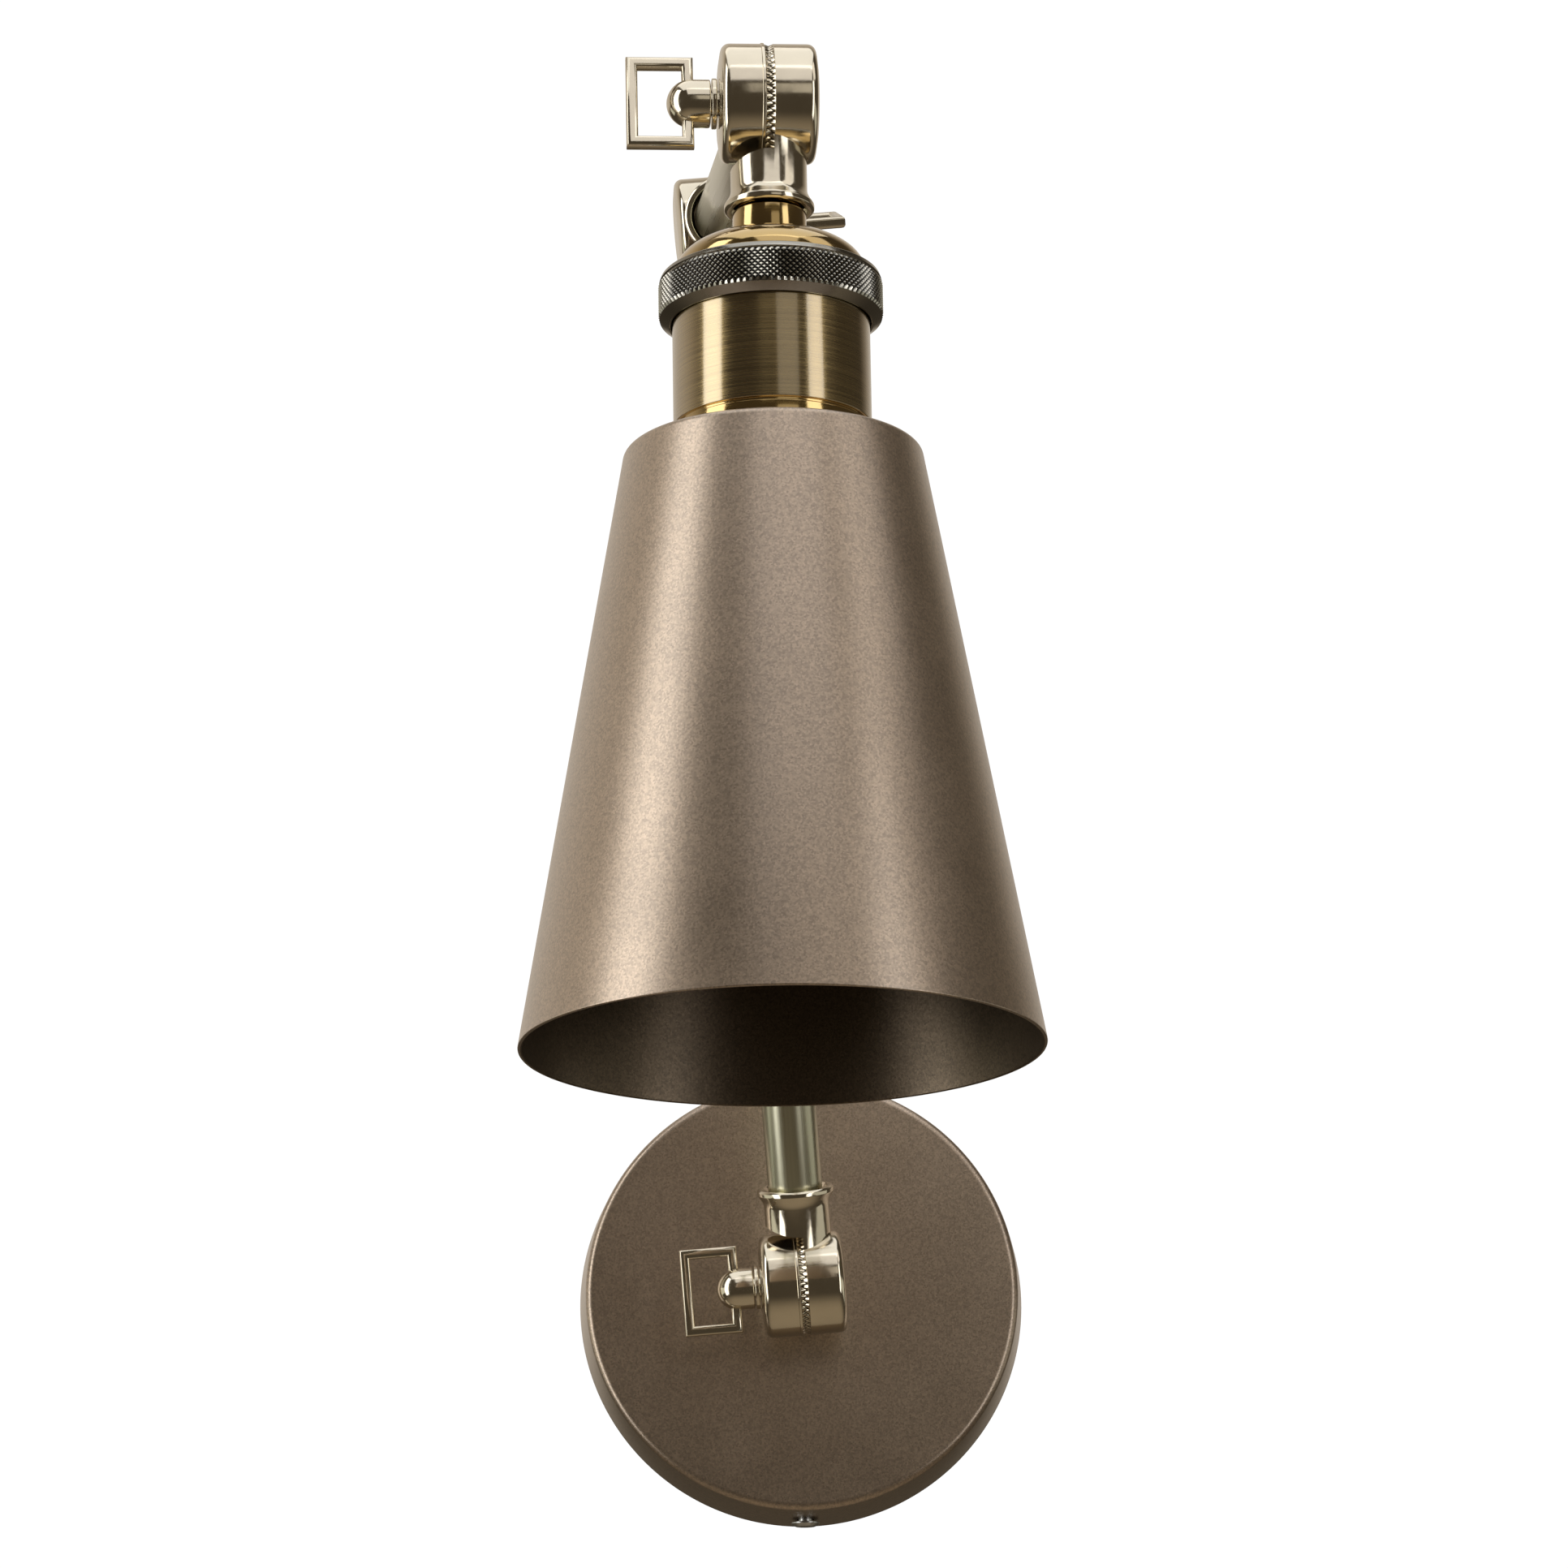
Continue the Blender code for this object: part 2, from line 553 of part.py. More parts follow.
def build_holder(head):
    foot = CAP_TOP - 0.1 * MM
    nipple = [(TUBE_R, TUBE_INSET), (TUBE_R, 23.2 * MM), (NIPPLE_R, 24.0 * MM), (NIPPLE_R, foot)]
    nipple += [(STEM_R, foot), (STEM_R, CAP_TOP + 8 * MM), (STEM_BORE, CAP_TOP + 8 * MM)]
    piece("lamp_nipple", turned(nipple + [(STEM_BORE, TUBE_INSET)], MIDDLE), "antique_brass", head)
    piece("holder_cap", turned(cap_outline(), ROUND), "antique_brass", head)
    piece("knurled_ring", turned(ring_outline(), ROUND), "dark_brass", head)
    piece("holder_shell", turned(shell_outline(), ROUND), "antique_brass", head)
    clamp = sleeve(25.4 * MM, SKIRT_R + GAP, SHADE_TOP + SHADE_SHEET + GAP, SHADE_TOP + 5.2 * MM)
    piece("shade_ring", turned(clamp, ROUND), "dark_brass", head)
    core = rod(LEAD_R, TUBE_INSET + 1 * MM, INSERT_TOP - 1.4 * MM)
    piece("head_lead", turned(core, TINY), "lead_black", head)


def build_lamp_socket(head):
    """The porcelain insert with its screw shell, centre contact and terminal screws."""
    top, floor = INSERT_TOP, INSERT_FLOOR
    insert = [(0, top), (INSERT_R, top), (INSERT_R, INSERT_END), (INSERT_WELL_R, INSERT_END)]
    insert += [(INSERT_WELL_R, floor), (0, floor)]
    porcelain = piece("holder_insert", turned(insert, MIDDLE), "porcelain", head)
    shell = sleeve(SCREW_SHELL_R, SCREW_SHELL_BORE, floor + GAP, SCREW_SHELL_END)
    piece("lamp_screw_shell", turned(shell, MIDDLE), "pale_brass", head)
    contact = [(0, floor + GAP), (3.6 * MM, floor + GAP), (3.6 * MM, floor + 1.6 * MM)]
    contact += [(2.2 * MM, floor + 3.4 * MM), (0, floor + 3.9 * MM)]
    piece("centre_contact", turned(contact, SMALL), "copper", head)
    wells = []
    for name, side in (("line", -1), ("neutral", 1)):
        place = (0, side * TERMINAL_OFFSET, 0)
        post = [(0, top - 1.6 * MM), (2.4 * MM, top - 1.6 * MM), (2.4 * MM, top + 0.2 * MM)]
        post += [(1.4 * MM, top + 0.2 * MM), (1.4 * MM, top + 4 * MM), (0, top + 4 * MM)]
        piece(f"{name}_terminal_screw", turned(post, TINY), "zinc_steel", head, place)
        well = rod(1.4 * MM + GAP, top - 1 * MM, top + 5 * MM)
        seat = rod(2.4 * MM + GAP, top - 1 * MM, top + 0.5 * MM)
        wells.append(piece(f"{name}_well", turned(well, TINY), "porcelain", head, place))
        wells.append(piece(f"{name}_seat", turned(seat, TINY), "porcelain", head, place))
    combine(porcelain, wells, "DIFFERENCE")


def build_head(head):
    knuckle_half("head_knuckle_lamp_half", 1, head, threaded=True)
    world_tilt = LOWER_LEAN + ELBOW_BEND + HEAD_BEND
    clamp_key("head", head, right=False, turn_by=HEAD_KEY_TURN - world_tilt)
    build_holder(head)
    build_lamp_socket(head)
    piece("shade", turned(shade_outline(), WIDE), "bronze_paint", head)


def main():
    clear_scene()
    build_strap()
    build_backplate()
    build_stem()
    build_wiring()
    wall_axis = build_wall_knuckle()
    head = build_arms(wall_axis)
    build_head(head)
    bpy.context.view_layer.update()


main()
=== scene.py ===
"""Looks for the picture light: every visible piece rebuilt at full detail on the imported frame.

Metres, +Z up. The wall is the plane Y = 0 and the light stands out towards -Y. Each piece is made
in the frame of its own joint or axis, where local X is the hinge axis and local Z runs along the
arm, and is then set in place, so a material can follow the way the piece was turned or brushed.
"""

import json
from math import atan2, cos, pi, radians, sin, sqrt, tan

import bmesh
import bpy
from mathutils import Matrix, Vector


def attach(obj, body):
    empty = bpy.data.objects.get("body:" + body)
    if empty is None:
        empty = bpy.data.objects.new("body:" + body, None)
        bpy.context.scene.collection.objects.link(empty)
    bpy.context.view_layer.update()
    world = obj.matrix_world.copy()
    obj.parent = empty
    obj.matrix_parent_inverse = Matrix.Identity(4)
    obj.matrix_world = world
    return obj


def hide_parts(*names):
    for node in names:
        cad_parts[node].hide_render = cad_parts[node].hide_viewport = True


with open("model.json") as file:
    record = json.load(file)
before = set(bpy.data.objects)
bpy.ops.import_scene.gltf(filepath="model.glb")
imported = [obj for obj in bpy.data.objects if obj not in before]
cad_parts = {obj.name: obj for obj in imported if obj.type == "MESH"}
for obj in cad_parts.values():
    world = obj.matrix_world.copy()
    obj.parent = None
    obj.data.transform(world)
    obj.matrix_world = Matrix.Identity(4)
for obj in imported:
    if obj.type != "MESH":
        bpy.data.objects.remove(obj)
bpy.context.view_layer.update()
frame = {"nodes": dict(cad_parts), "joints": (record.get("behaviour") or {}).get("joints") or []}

MM = 0.001
GAP = 0.3 * MM

# Knuckles
DISC_R = 12.3 * MM
DISC_W = 10.2 * MM
DISC_ROUND = 1.8 * MM
DISC_DOME = 0.7 * MM
TEETH = 48
TOOTH_HEIGHT = 0.55 * MM  # each way from the seam's middle, at the rim
TOOTH_START_R = 7.6 * MM
TOOTH_CHAMFER = 0.55 * MM  # how far in from the rim the teeth's ends slope down
SEAM_GAP = 0.3 * MM
RIDGE_R = 12.5 * MM
NECK_R = 7.8 * MM
COLLAR_R = 9.2 * MM
COLLAR_END = 23.6 * MM
BASE_COLLAR_END = 16.3 * MM
SOCKET_R = 6.8 * MM
SOCKET_START = 15.5 * MM
SWING_R = 14.8 * MM
NECK_SETBACK = 0.75 * MM  # of the neck's side wall from the seam
TOOTH_RELIEF = 1.2 * MM
DOME_FLAT_R = 5.9 * MM
THREAD_DEPTH = 8.6 * MM
STEM_FLOOR = 13.1 * MM
TOOTH_STEPS = 8

# Keys, and how far each is turned from upright in degrees
WALL_KEY_TURN = 4
ELBOW_KEY_TURN = 111
HEAD_KEY_TURN = -11
SHANK_R = 2.4 * MM
SHANK_CLEAR_R = 2.8 * MM
SHANK_REACH = 7.6 * MM
HUB_R = 4.95 * MM
HUB_TIP = DISC_W + 10.5 * MM
BOW_FAR = DISC_W + 18.76 * MM
BOW_WIDTH = 13.8 * MM
BOW_HEIGHT = 20.8 * MM
BOW_BAR = 2.4 * MM
BOW_THICK = 2.8 * MM
BOW_ROUND = 0.85 * MM
WASHER_R = 5.2 * MM
WASHER_T = 1.0 * MM
WASHER_FACE = DISC_W + 0.3 * MM

# Arms
TUBE_R = 6.5 * MM
TUBE_WALL = 1.1 * MM
TUBE_INSET = 15.9 * MM

# Wall plate and what it hides
PLATE_R_REAR = 54.2 * MM
PLATE_R_FRONT = 52.4 * MM
PLATE_DEPTH = 23.7 * MM
PLATE_EDGE = 1.9 * MM
SHEET = 1.2 * MM
SIDE_SCREW_Y = 9.5 * MM
SIDE_SCREW_R = 1.75 * MM
SIDE_CUT = 60 * MM  # past the plate's rim
STRAP_HALF = 49.6 * MM
STRAP_WIDTH = 20.0 * MM
STRAP_T = 1.6 * MM
STRAP_TAB = 14.5 * MM
STEM_R = 4.85 * MM
STEM_BORE = 3.2 * MM
STEM_PITCH = 1.0 * MM
STEM_WASHER_T = 1.2 * MM
STEM_WASHER_R = 9.0 * MM
STEM_NUT_T = 3.0 * MM
STEM_NUT_HALF_FLATS = 7.0 * MM
WALL_STANDOFF = 40.3 * MM
CAD_DISC_R = 12.5 * MM
WALL_SLOT_Z = 31.0 * MM
CABLE_HOLE_Z = 15.0 * MM
TERMINAL_Z = -14.0 * MM
TERMINAL_PITCH = 7.5 * MM
TERMINAL_SIZE = (24 * MM, 9.5 * MM, 10 * MM)
EARTH_Z = 41.5 * MM

# Lampholder, as distances down the head from its hinge
NIPPLE_R = 7.5 * MM
CAP_TOP = 28.9 * MM
CAP_R = 19.5 * MM
CAP_HEIGHT = 8.6 * MM
CAP_POWER = 2.2
CAP_END = 44.5 * MM
RING_TOP = 37.6 * MM
KNURL_TOP = 39.3 * MM
KNURL_END = 46.4 * MM
RING_END = 48.0 * MM
RING_R = 22.8 * MM
SHELL_R = 20.0 * MM
BAND_TOP = 69.8 * MM
SHADE_TOP = 75.5 * MM
SKIRT_R = 18.3 * MM
SKIRT_END = 88.0 * MM
KNURLS = 110
KNURL_ROWS = 6
KNURL_DEPTH = 0.42 * MM
SKIRT_PITCH = 1.8 * MM
INSERT_TOP = 46.0 * MM
INSERT_FLOOR = 57.0 * MM
INSERT_END = 85.0 * MM
INSERT_R = 16.6 * MM
INSERT_WELL_R = 14.6 * MM
SCREW_SHELL_R = 14.2 * MM
SCREW_SHELL_BORE = 13.5 * MM
SCREW_SHELL_END = 83.0 * MM
LAMP_PITCH = 3.6 * MM
TERMINAL_OFFSET = 9.5 * MM

# Shade
SHADE_BOTTOM = 198.0 * MM
SHADE_TOP_R = 30.3 * MM
SHADE_BOTTOM_R = 51.9 * MM
SHADE_SHEET = 0.8 * MM
SHADE_SHOULDER = 1.6 * MM
SHADE_RING_R = 25.4 * MM
SHADE_RING_END = SHADE_TOP + 5.2 * MM
NOTCHES = 18
NOTCH_R = 1.6 * MM
NOTCH_AT = 26.2 * MM

# Camera and stage
CAMERA_AT = (-21.26 * MM, -1488.0 * MM, -194.4 * MM)
CAMERA_YAW = -0.01305
CAMERA_PITCH = 0.21543
CAMERA_ROLL = -0.01797
LENS_MM = 139.75
FLOOR_Z = -0.34
LIGHT_CENTRE = Vector((0, -0.3, 0.13))
WORLD_DARK = 0.07
WORLD_LOW = 0.3
WORLD_WALL = 0.62
BACKDROP = 1.05  # how bright the camera sees the world
BRIGHT_SIDE = (-0.35, 0.937, 0)  # towards the world's bright wall
FLOOR_REACH = 12.0
FLOOR_CELLS = 24

# Degrees between two faces from which their edge is sharp
SHARP = 32
KNURL_SHARP = 24
SCREW_SHELL_SHARP = 50
BEVEL_SHARP = 50

# Steps round a turned piece
VAST = 256
WIDE = 160
ROUND = 96
SMALL = 48


# Frames


def moved(x, y, z):
    return Matrix.Translation((x, y, z))


def axes_at(origin, x_axis, z_axis):
    """The matrix of a frame with this origin, hinge axis and arm direction."""
    x = Vector(x_axis).normalized()
    z = Vector(z_axis).normalized()
    y = z.cross(x).normalized()
    turn = Matrix((x, y, x.cross(y))).transposed()
    return Matrix.Translation(origin) @ turn.to_4x4()


def middle(name):
    """The mean of a turned node's points, which lies on its axis."""
    points = [v.co for v in frame["nodes"][name].data.vertices]
    return sum(points, Vector()) / len(points)


def joint(name):
    return next(j for j in frame["joints"] if j["name"] == name)


def key_frame(origin, x_axis, turn, right):
    """A key's frame: its bow stands upright, then is turned about the hinge; the key lies at -X."""
    x = Vector(x_axis).normalized()
    up = Vector((0, 0, 1))
    up = (up - x * up.dot(x)).normalized()
    z = Matrix.Rotation(turn, 3, x) @ up
    return axes_at(origin, -x if right else x, z)


WALL_AT = Vector(joint("wall_knuckle")["pos_m"])
ELBOW_AT = Vector(joint("elbow_knuckle")["pos_m"])
HEAD_AT = Vector(joint("head_knuckle")["pos_m"])
WALL_X = Vector(joint("wall_knuckle")["axis"])
ELBOW_X = Vector(joint("elbow_knuckle")["axis"])
HEAD_X = -Vector(joint("head_knuckle")["axis"])
LOWER_LENGTH = (ELBOW_AT - WALL_AT).length
UPPER_LENGTH = (HEAD_AT - ELBOW_AT).length

BASE = axes_at(WALL_AT, WALL_X, (0, 1, 0))
LOWER = axes_at(WALL_AT, WALL_X, ELBOW_AT - WALL_AT)
ELBOW_BACK = axes_at(ELBOW_AT, ELBOW_X, WALL_AT - ELBOW_AT)
UPPER = axes_at(ELBOW_AT, ELBOW_X, HEAD_AT - ELBOW_AT)
HEAD_BACK = axes_at(HEAD_AT, HEAD_X, ELBOW_AT - HEAD_AT)
HEAD = axes_at(HEAD_AT, HEAD_X, middle("lamp_screw_shell") - HEAD_AT)
PLATE = axes_at((0, 0, 0), (1, 0, 0), (0, -1, 0))  # local Z runs out of the wall
SIDE_SCREWS = moved(0, -SIDE_SCREW_Y, 0)
WALL_KEY = key_frame(WALL_AT, WALL_X, radians(WALL_KEY_TURN), False)
ELBOW_KEY = key_frame(ELBOW_AT, ELBOW_X, radians(ELBOW_KEY_TURN), True)
HEAD_KEY = key_frame(HEAD_AT, HEAD_X, radians(HEAD_KEY_TURN), False)


# Mesh tools


def filleted(outline, steps=4):
    """A closed outline of (radius, along[, fillet]) with each filleted corner drawn as an arc."""
    points = []
    count = len(outline)
    for k, corner in enumerate(outline):
        here = Vector(corner[:2])
        fillet = corner[2] if len(corner) > 2 else 0
        to_last = Vector(outline[k - 1][:2]) - here
        to_next = Vector(outline[(k + 1) % count][:2]) - here
        if fillet <= 0:
            points.append(tuple(here))
            continue
        half = to_last.angle(to_next) / 2
        reach = min(fillet / tan(half), to_last.length * 0.49, to_next.length * 0.49)
        radius = reach * tan(half)
        centre = here + (to_last.normalized() + to_next.normalized()).normalized() * (radius / sin(half))
        start = here + to_last.normalized() * reach - centre
        end = here + to_next.normalized() * reach - centre
        sweep = start.angle_signed(end)
        for n in range(steps + 1):
            spoke = start.copy()
            spoke.rotate(Matrix.Rotation(-sweep * n / steps, 2))
            points.append(tuple(centre + spoke))
    return points


def join_rings(shape, rings):
    """Faces between each ring and the next, and from the last back to the first."""
    steps = len(rings[0])
    for ring, after in zip(rings, rings[1:] + rings[:1]):
        for k in range(steps):
            n = (k + 1) % steps
            corners = list(dict.fromkeys([ring[k], ring[n], after[n], after[k]]))
            if len(corners) > 2:
                shape.faces.new(corners)


def turned(outline, steps, along_x=False):
    """A closed solid of revolution about local Z, or about local X."""
    shape = bmesh.new()
    rings = []
    for radius, along in outline:
        if radius < 1e-7:
            rings.append([shape.verts.new((0, 0, along))] * steps)
            continue
        angles = [2 * pi * k / steps for k in range(steps)]
        rings.append([shape.verts.new((radius * cos(a), radius * sin(a), along)) for a in angles])
    join_rings(shape, rings)
    if along_x:
        bmesh.ops.rotate(shape, verts=shape.verts, matrix=Matrix.Rotation(pi / 2, 3, "Y"))
    return shape


def extruded(outline, start, end):
    """A prism along local X: outline is a closed loop of (y, z)."""
    shape = bmesh.new()
    near = [shape.verts.new((start, y, z)) for y, z in outline]
    far = [shape.verts.new((end, y, z)) for y, z in outline]
    shape.faces.new(near)
    shape.faces.new(far)
    for k in range(len(outline)):
        n = (k + 1) % len(outline)
        shape.faces.new((near[k], near[n], far[n], far[k]))
    return shape


def rod(radius, start, end, fillet=0.0):
    return filleted([(0, start), (radius, start, fillet), (radius, end, fillet), (0, end)], 3)


def sleeve(outer, inner, start, end, fillet=0.0):
    corners = [(outer, start), (outer, end), (inner, end), (inner, start)]
    return filleted([(r, s, fillet) for r, s in corners], 3)


def placed(name, data):
    """A new object in the scene."""
    item = bpy.data.objects.new(name, data)
    bpy.context.scene.collection.objects.link(item)
    return item


def edged(mesh, sharp):
    mesh.shade_smooth()
    mesh.set_sharp_from_angle(angle=radians(sharp))


def made(name, shape, look, place, sharp=SHARP):
    """An object from a bmesh, set at its frame, with the look of this name if it has one."""
    bmesh.ops.recalc_face_normals(shape, faces=shape.faces)
    mesh = bpy.data.meshes.new(name)
    shape.to_mesh(mesh)
    shape.free()
    edged(mesh, sharp)
    if look:
        mesh.materials.append(LOOKS[look])
    piece = placed(name, mesh)
    piece.matrix_world = place
    return piece


def shown(piece, body, slot, *nodes):
    """The piece rides on its body and stands for its CAD nodes, which it hides.

    A turned or drawn look keeps the piece's own frame, which its marks follow. The others' points
    are kept in world axes, where the box round them is tight.
    """
    if slot not in ("pale_brass", "antique_brass", "dark_brass"):
        piece.data.transform(piece.matrix_world)
        piece.matrix_world = Matrix()
    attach(piece, body)
    if nodes:
        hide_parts(*nodes)
    return piece


def finished(node_name, shape, look, place, body, slot=None, sharp=SHARP):
    """A piece that needs no cuts, made for one CAD node and shown in its place."""
    piece = made(f"{node_name}_detail", shape, look, place, sharp)
    return shown(piece, body, slot or look, node_name)


def settled(piece):
    """Applies the piece's modifiers and marks its sharp edges again."""
    bpy.context.view_layer.update()
    graph = bpy.context.evaluated_depsgraph_get()
    mesh = bpy.data.meshes.new_from_object(piece.evaluated_get(graph))
    mesh.name = piece.name
    piece.modifiers.clear()
    piece.data = mesh
    edged(mesh, SHARP)
    return piece


def boolean(target, tools, operation="DIFFERENCE"):
    """Applies a Boolean with each tool, and removes the tools."""
    for tool in tools:
        step = target.modifiers.new(operation.lower(), "BOOLEAN")
        step.operation = operation
        step.solver = "EXACT"
        step.object = tool
        settled(target)
        bpy.data.objects.remove(tool, do_unlink=True)
    return target


def bevelled(piece, width):
    step = piece.modifiers.new("edges", "BEVEL")
    step.width = width
    step.segments = 2
    step.limit_method = "ANGLE"
    step.angle_limit = radians(BEVEL_SHARP)
    return settled(piece)


def drill(radius, start, end, place):
    """A round cutter along the frame's Z."""
    return made("drill", turned(rod(radius, start, end), SMALL), None, place)


def block(size, place):
    shape = bmesh.new()
    bmesh.ops.create_cube(shape, size=1, matrix=place @ Matrix.Diagonal((*size, 1)))
    return shape


# Materials


def new_material(name, colour, metallic, roughness, **sockets):
    """A Principled material. Extra sockets are given by name, with _ for a space."""
    material = bpy.data.materials.new(name)
    material.use_nodes = True
    shader = material.node_tree.nodes["Principled BSDF"]
    shader.inputs["Base Color"].default_value = (*colour, 1.0)
    shader.inputs["Metallic"].default_value = metallic
    shader.inputs["Roughness"].default_value = roughness
    for socket, value in sockets.items():
        shader.inputs[socket.replace("_", " ")].default_value = value
    material.diffuse_color = (*colour, 1.0)
    return material


def node(material, kind, **inputs):
    made_node = material.node_tree.nodes.new(kind)
    for socket, value in inputs.items():
        made_node.inputs[socket.replace("_", " ")].default_value = value
    return made_node


def link(material, source, target):
    material.node_tree.links.new(source, target)


def shader_input(material, socket):
    return material.node_tree.nodes["Principled BSDF"].inputs[socket]


def noise(material, scale, stretch=(1, 1, 1), detail=3.0, roughness=0.5):
    """Noise in the piece's own frame; stretch makes it fine along one axis and long along another."""
    place = node(material, "ShaderNodeTexCoord")
    sizing = node(material, "ShaderNodeMapping", Scale=stretch)
    texture = node(material, "ShaderNodeTexNoise", Scale=scale, Detail=detail, Roughness=roughness)
    link(material, place.outputs["Object"], sizing.inputs["Vector"])
    link(material, sizing.outputs["Vector"], texture.inputs["Vector"])
    return texture.outputs["Fac"]


def cells(material, scale):
    place = node(material, "ShaderNodeTexCoord")
    texture = node(material, "ShaderNodeTexVoronoi", Scale=scale)
    link(material, place.outputs["Object"], texture.inputs["Vector"])
    return texture.outputs["Color"]


def worn(material, source, smooth, rough, start=0.3, end=0.7):
    """The roughness runs from smooth to rough as the source runs from start to end."""
    spread = node(material, "ShaderNodeMapRange", From_Min=start, From_Max=end, To_Min=smooth, To_Max=rough)
    link(material, source, spread.inputs["Value"])
    link(material, spread.outputs["Result"], shader_input(material, "Roughness"))


def toned(material, colour, source, low, high, start=0.3, end=0.7):
    """The colour is multiplied by low to high as the source runs from start to end."""
    ramp = node(material, "ShaderNodeValToRGB")
    for k, (position, factor) in enumerate(((start, low), (end, high))):
        stop = ramp.color_ramp.elements[k]
        stop.position = position
        stop.color = (*(min(1.0, c * factor) for c in colour), 1.0)
    link(material, source, ramp.inputs["Fac"])
    link(material, ramp.outputs["Color"], shader_input(material, "Base Color"))


def relief(material, layers):
    """Bumps one on another: each layer is (height, depth in metres, strength)."""
    normal = None
    for height, depth, strength in layers:
        bump = node(material, "ShaderNodeBump", Distance=depth, Strength=strength)
        link(material, height, bump.inputs["Height"])
        if normal:
            link(material, normal, bump.inputs["Normal"])
        normal = bump.outputs["Normal"]
    link(material, normal, shader_input(material, "Normal"))


def painted(name, colour, coat):
    """Satin metallic paint: fine flakes, a soft orange peel and a slight cloudiness."""
    paint = new_material(name, colour, 0.85, 0.38, Coat_Weight=coat, Coat_IOR=1.8, Coat_Roughness=0.3)
    toned(paint, colour, cells(paint, 2600.0), 0.75, 1.3, 0.1, 0.9)
    worn(paint, noise(paint, 55.0), 0.34, 0.42)
    peel = noise(paint, 750.0, detail=2.0)
    grit = noise(paint, 1400.0, detail=1.0)
    relief(paint, [(peel, 0.05 * MM, 0.5), (grit, 0.03 * MM, 0.6)])
    return paint


def bronze_paint():
    return painted("bronze_paint", (0.39, 0.3, 0.22), 1.0)


def painted_shade_inside():
    """The same paint, much darker and with little coat, on the lampshade's inside faces as painted shade.
    """
    return painted("painted_shade_inside", (0.12, 0.09, 0.06), 0.1)


def champagne_plate():
    """Bright plated casting: near-mirror with a faint waviness and fine polishing marks."""
    colour = (0.70, 0.64, 0.52)
    plating = new_material("champagne_plate", colour, 1.0, 0.13)
    toned(plating, colour, noise(plating, 90.0), 0.93, 1.05)
    worn(plating, noise(plating, 700.0, detail=4.0), 0.1, 0.17)
    relief(plating, [(noise(plating, 160.0, detail=2.0), 0.06 * MM, 0.35)])
    return plating


def pale_brass():
    """Lacquered tube, drawn lengthwise."""
    colour = (0.60, 0.59, 0.45)
    brass = new_material("pale_brass", colour, 1.0, 0.2, Coat_Weight=0.5, Coat_IOR=1.5, Coat_Roughness=0.1)
    drawn = noise(brass, 1.0, (2600, 2600, 18), 2.0)
    toned(brass, colour, drawn, 0.94, 1.04)
    worn(brass, drawn, 0.26, 0.34)
    relief(brass, [(drawn, 0.008 * MM, 0.4)])
    return brass


def turned_tangent(brass, stretch, rotation):
    """Brushing that runs round the piece's own Z axis spreads its highlights along the axis."""
    tangent = node(brass, "ShaderNodeTangent")
    tangent.direction_type = "RADIAL"
    tangent.axis = "Z"
    link(brass, tangent.outputs["Tangent"], shader_input(brass, "Tangent"))
    shader_input(brass, "Anisotropic").default_value = stretch
    shader_input(brass, "Anisotropic Rotation").default_value = rotation


def antique_brass():
    """Toned brass brushed round and round on the lathe, under clear lacquer."""
    colour = (0.34, 0.25, 0.11)
    lacquer = {"Coat_Weight": 1.0, "Coat_IOR": 2.0, "Coat_Roughness": 0.1}
    brass = new_material("antique_brass", colour, 1.0, 0.25, **lacquer)
    turned_tangent(brass, 0.85, 0.25)
    brushed = noise(brass, 1.0, (22, 22, 5200), 3.0, 0.7)
    toned(brass, colour, brushed, 0.72, 1.2)
    worn(brass, brushed, 0.2, 0.32, 0.25, 0.75)
    relief(brass, [(brushed, 0.014 * MM, 0.5)])
    return brass


def golden_brass():
    """The same brass polished, under clear lacquer."""
    colour = (0.50, 0.345, 0.12)
    lacquer = {"Coat_Weight": 1.0, "Coat_IOR": 1.65, "Coat_Roughness": 0.07}
    brass = new_material("golden_brass", colour, 1.0, 0.11, **lacquer)
    patches = noise(brass, 60.0, (1, 1, 3), 2.0)
    toned(brass, colour, patches, 0.9, 1.08)
    turned_marks = noise(brass, 1.0, (22, 22, 4200), 2.0)
    worn(brass, turned_marks, 0.08, 0.15)
    relief(brass, [(turned_marks, 0.006 * MM, 0.3)])
    return brass


def dark_brass():
    """Toned brass, its tone varying at random."""
    colour = (0.47, 0.45, 0.38)
    brass = new_material("dark_brass", colour, 1.0, 0.22)
    toned(brass, colour, noise(brass, 300.0), 0.7, 1.1)
    turned_marks = noise(brass, 1.0, (22, 22, 4200), 2.0)
    worn(brass, turned_marks, 0.16, 0.30)
    relief(brass, [(turned_marks, 0.01 * MM, 0.4)])
    return brass


def knurled_brass():
    """Bright on the knurl's tips and nearly black in its grooves, which carry the groove mark: the grooves'
    black is toning left in the cuts together with painted shade, and the plain ends are darkened halfway as
    painted shade.
    """
    colour = (0.62, 0.60, 0.54)
    brass = new_material("knurled_brass", colour, 1.0, 0.15)
    depth = node(brass, "ShaderNodeAttribute")
    depth.attribute_name = "groove"
    toned(brass, colour, depth.outputs["Fac"], 1.0, 0.06, 0.15, 0.85)
    worn(brass, noise(brass, 900.0), 0.12, 0.2)
    relief(brass, [(noise(brass, 1800.0), 0.01 * MM, 0.4)])
    return brass


def plain(name, colour, metallic, roughness, tone, bump, wear=None):
    """An unpatterned look.

    tone is (texture, scale, darkest, lightest), bump is (scale, depth in mm, strength), and wear
    is (scale, smoothest, roughest).
    """
    material = new_material(name, colour, metallic, roughness)
    texture, scale, dark, light = tone
    toned(material, colour, texture(material, scale), dark, light)
    if wear:
        worn(material, noise(material, wear[0]), *wear[1:])
    scale, depth, strength = bump
    relief(material, [(noise(material, scale), depth * MM, strength)])
    return material


def zinc_steel():
    colour, spangle = (0.56, 0.57, 0.575), (cells, 900.0, 0.84, 1.08)
    return plain("zinc_steel", colour, 1.0, 0.34, spangle, (1500.0, 0.02, 0.4), (500.0, 0.28, 0.42))


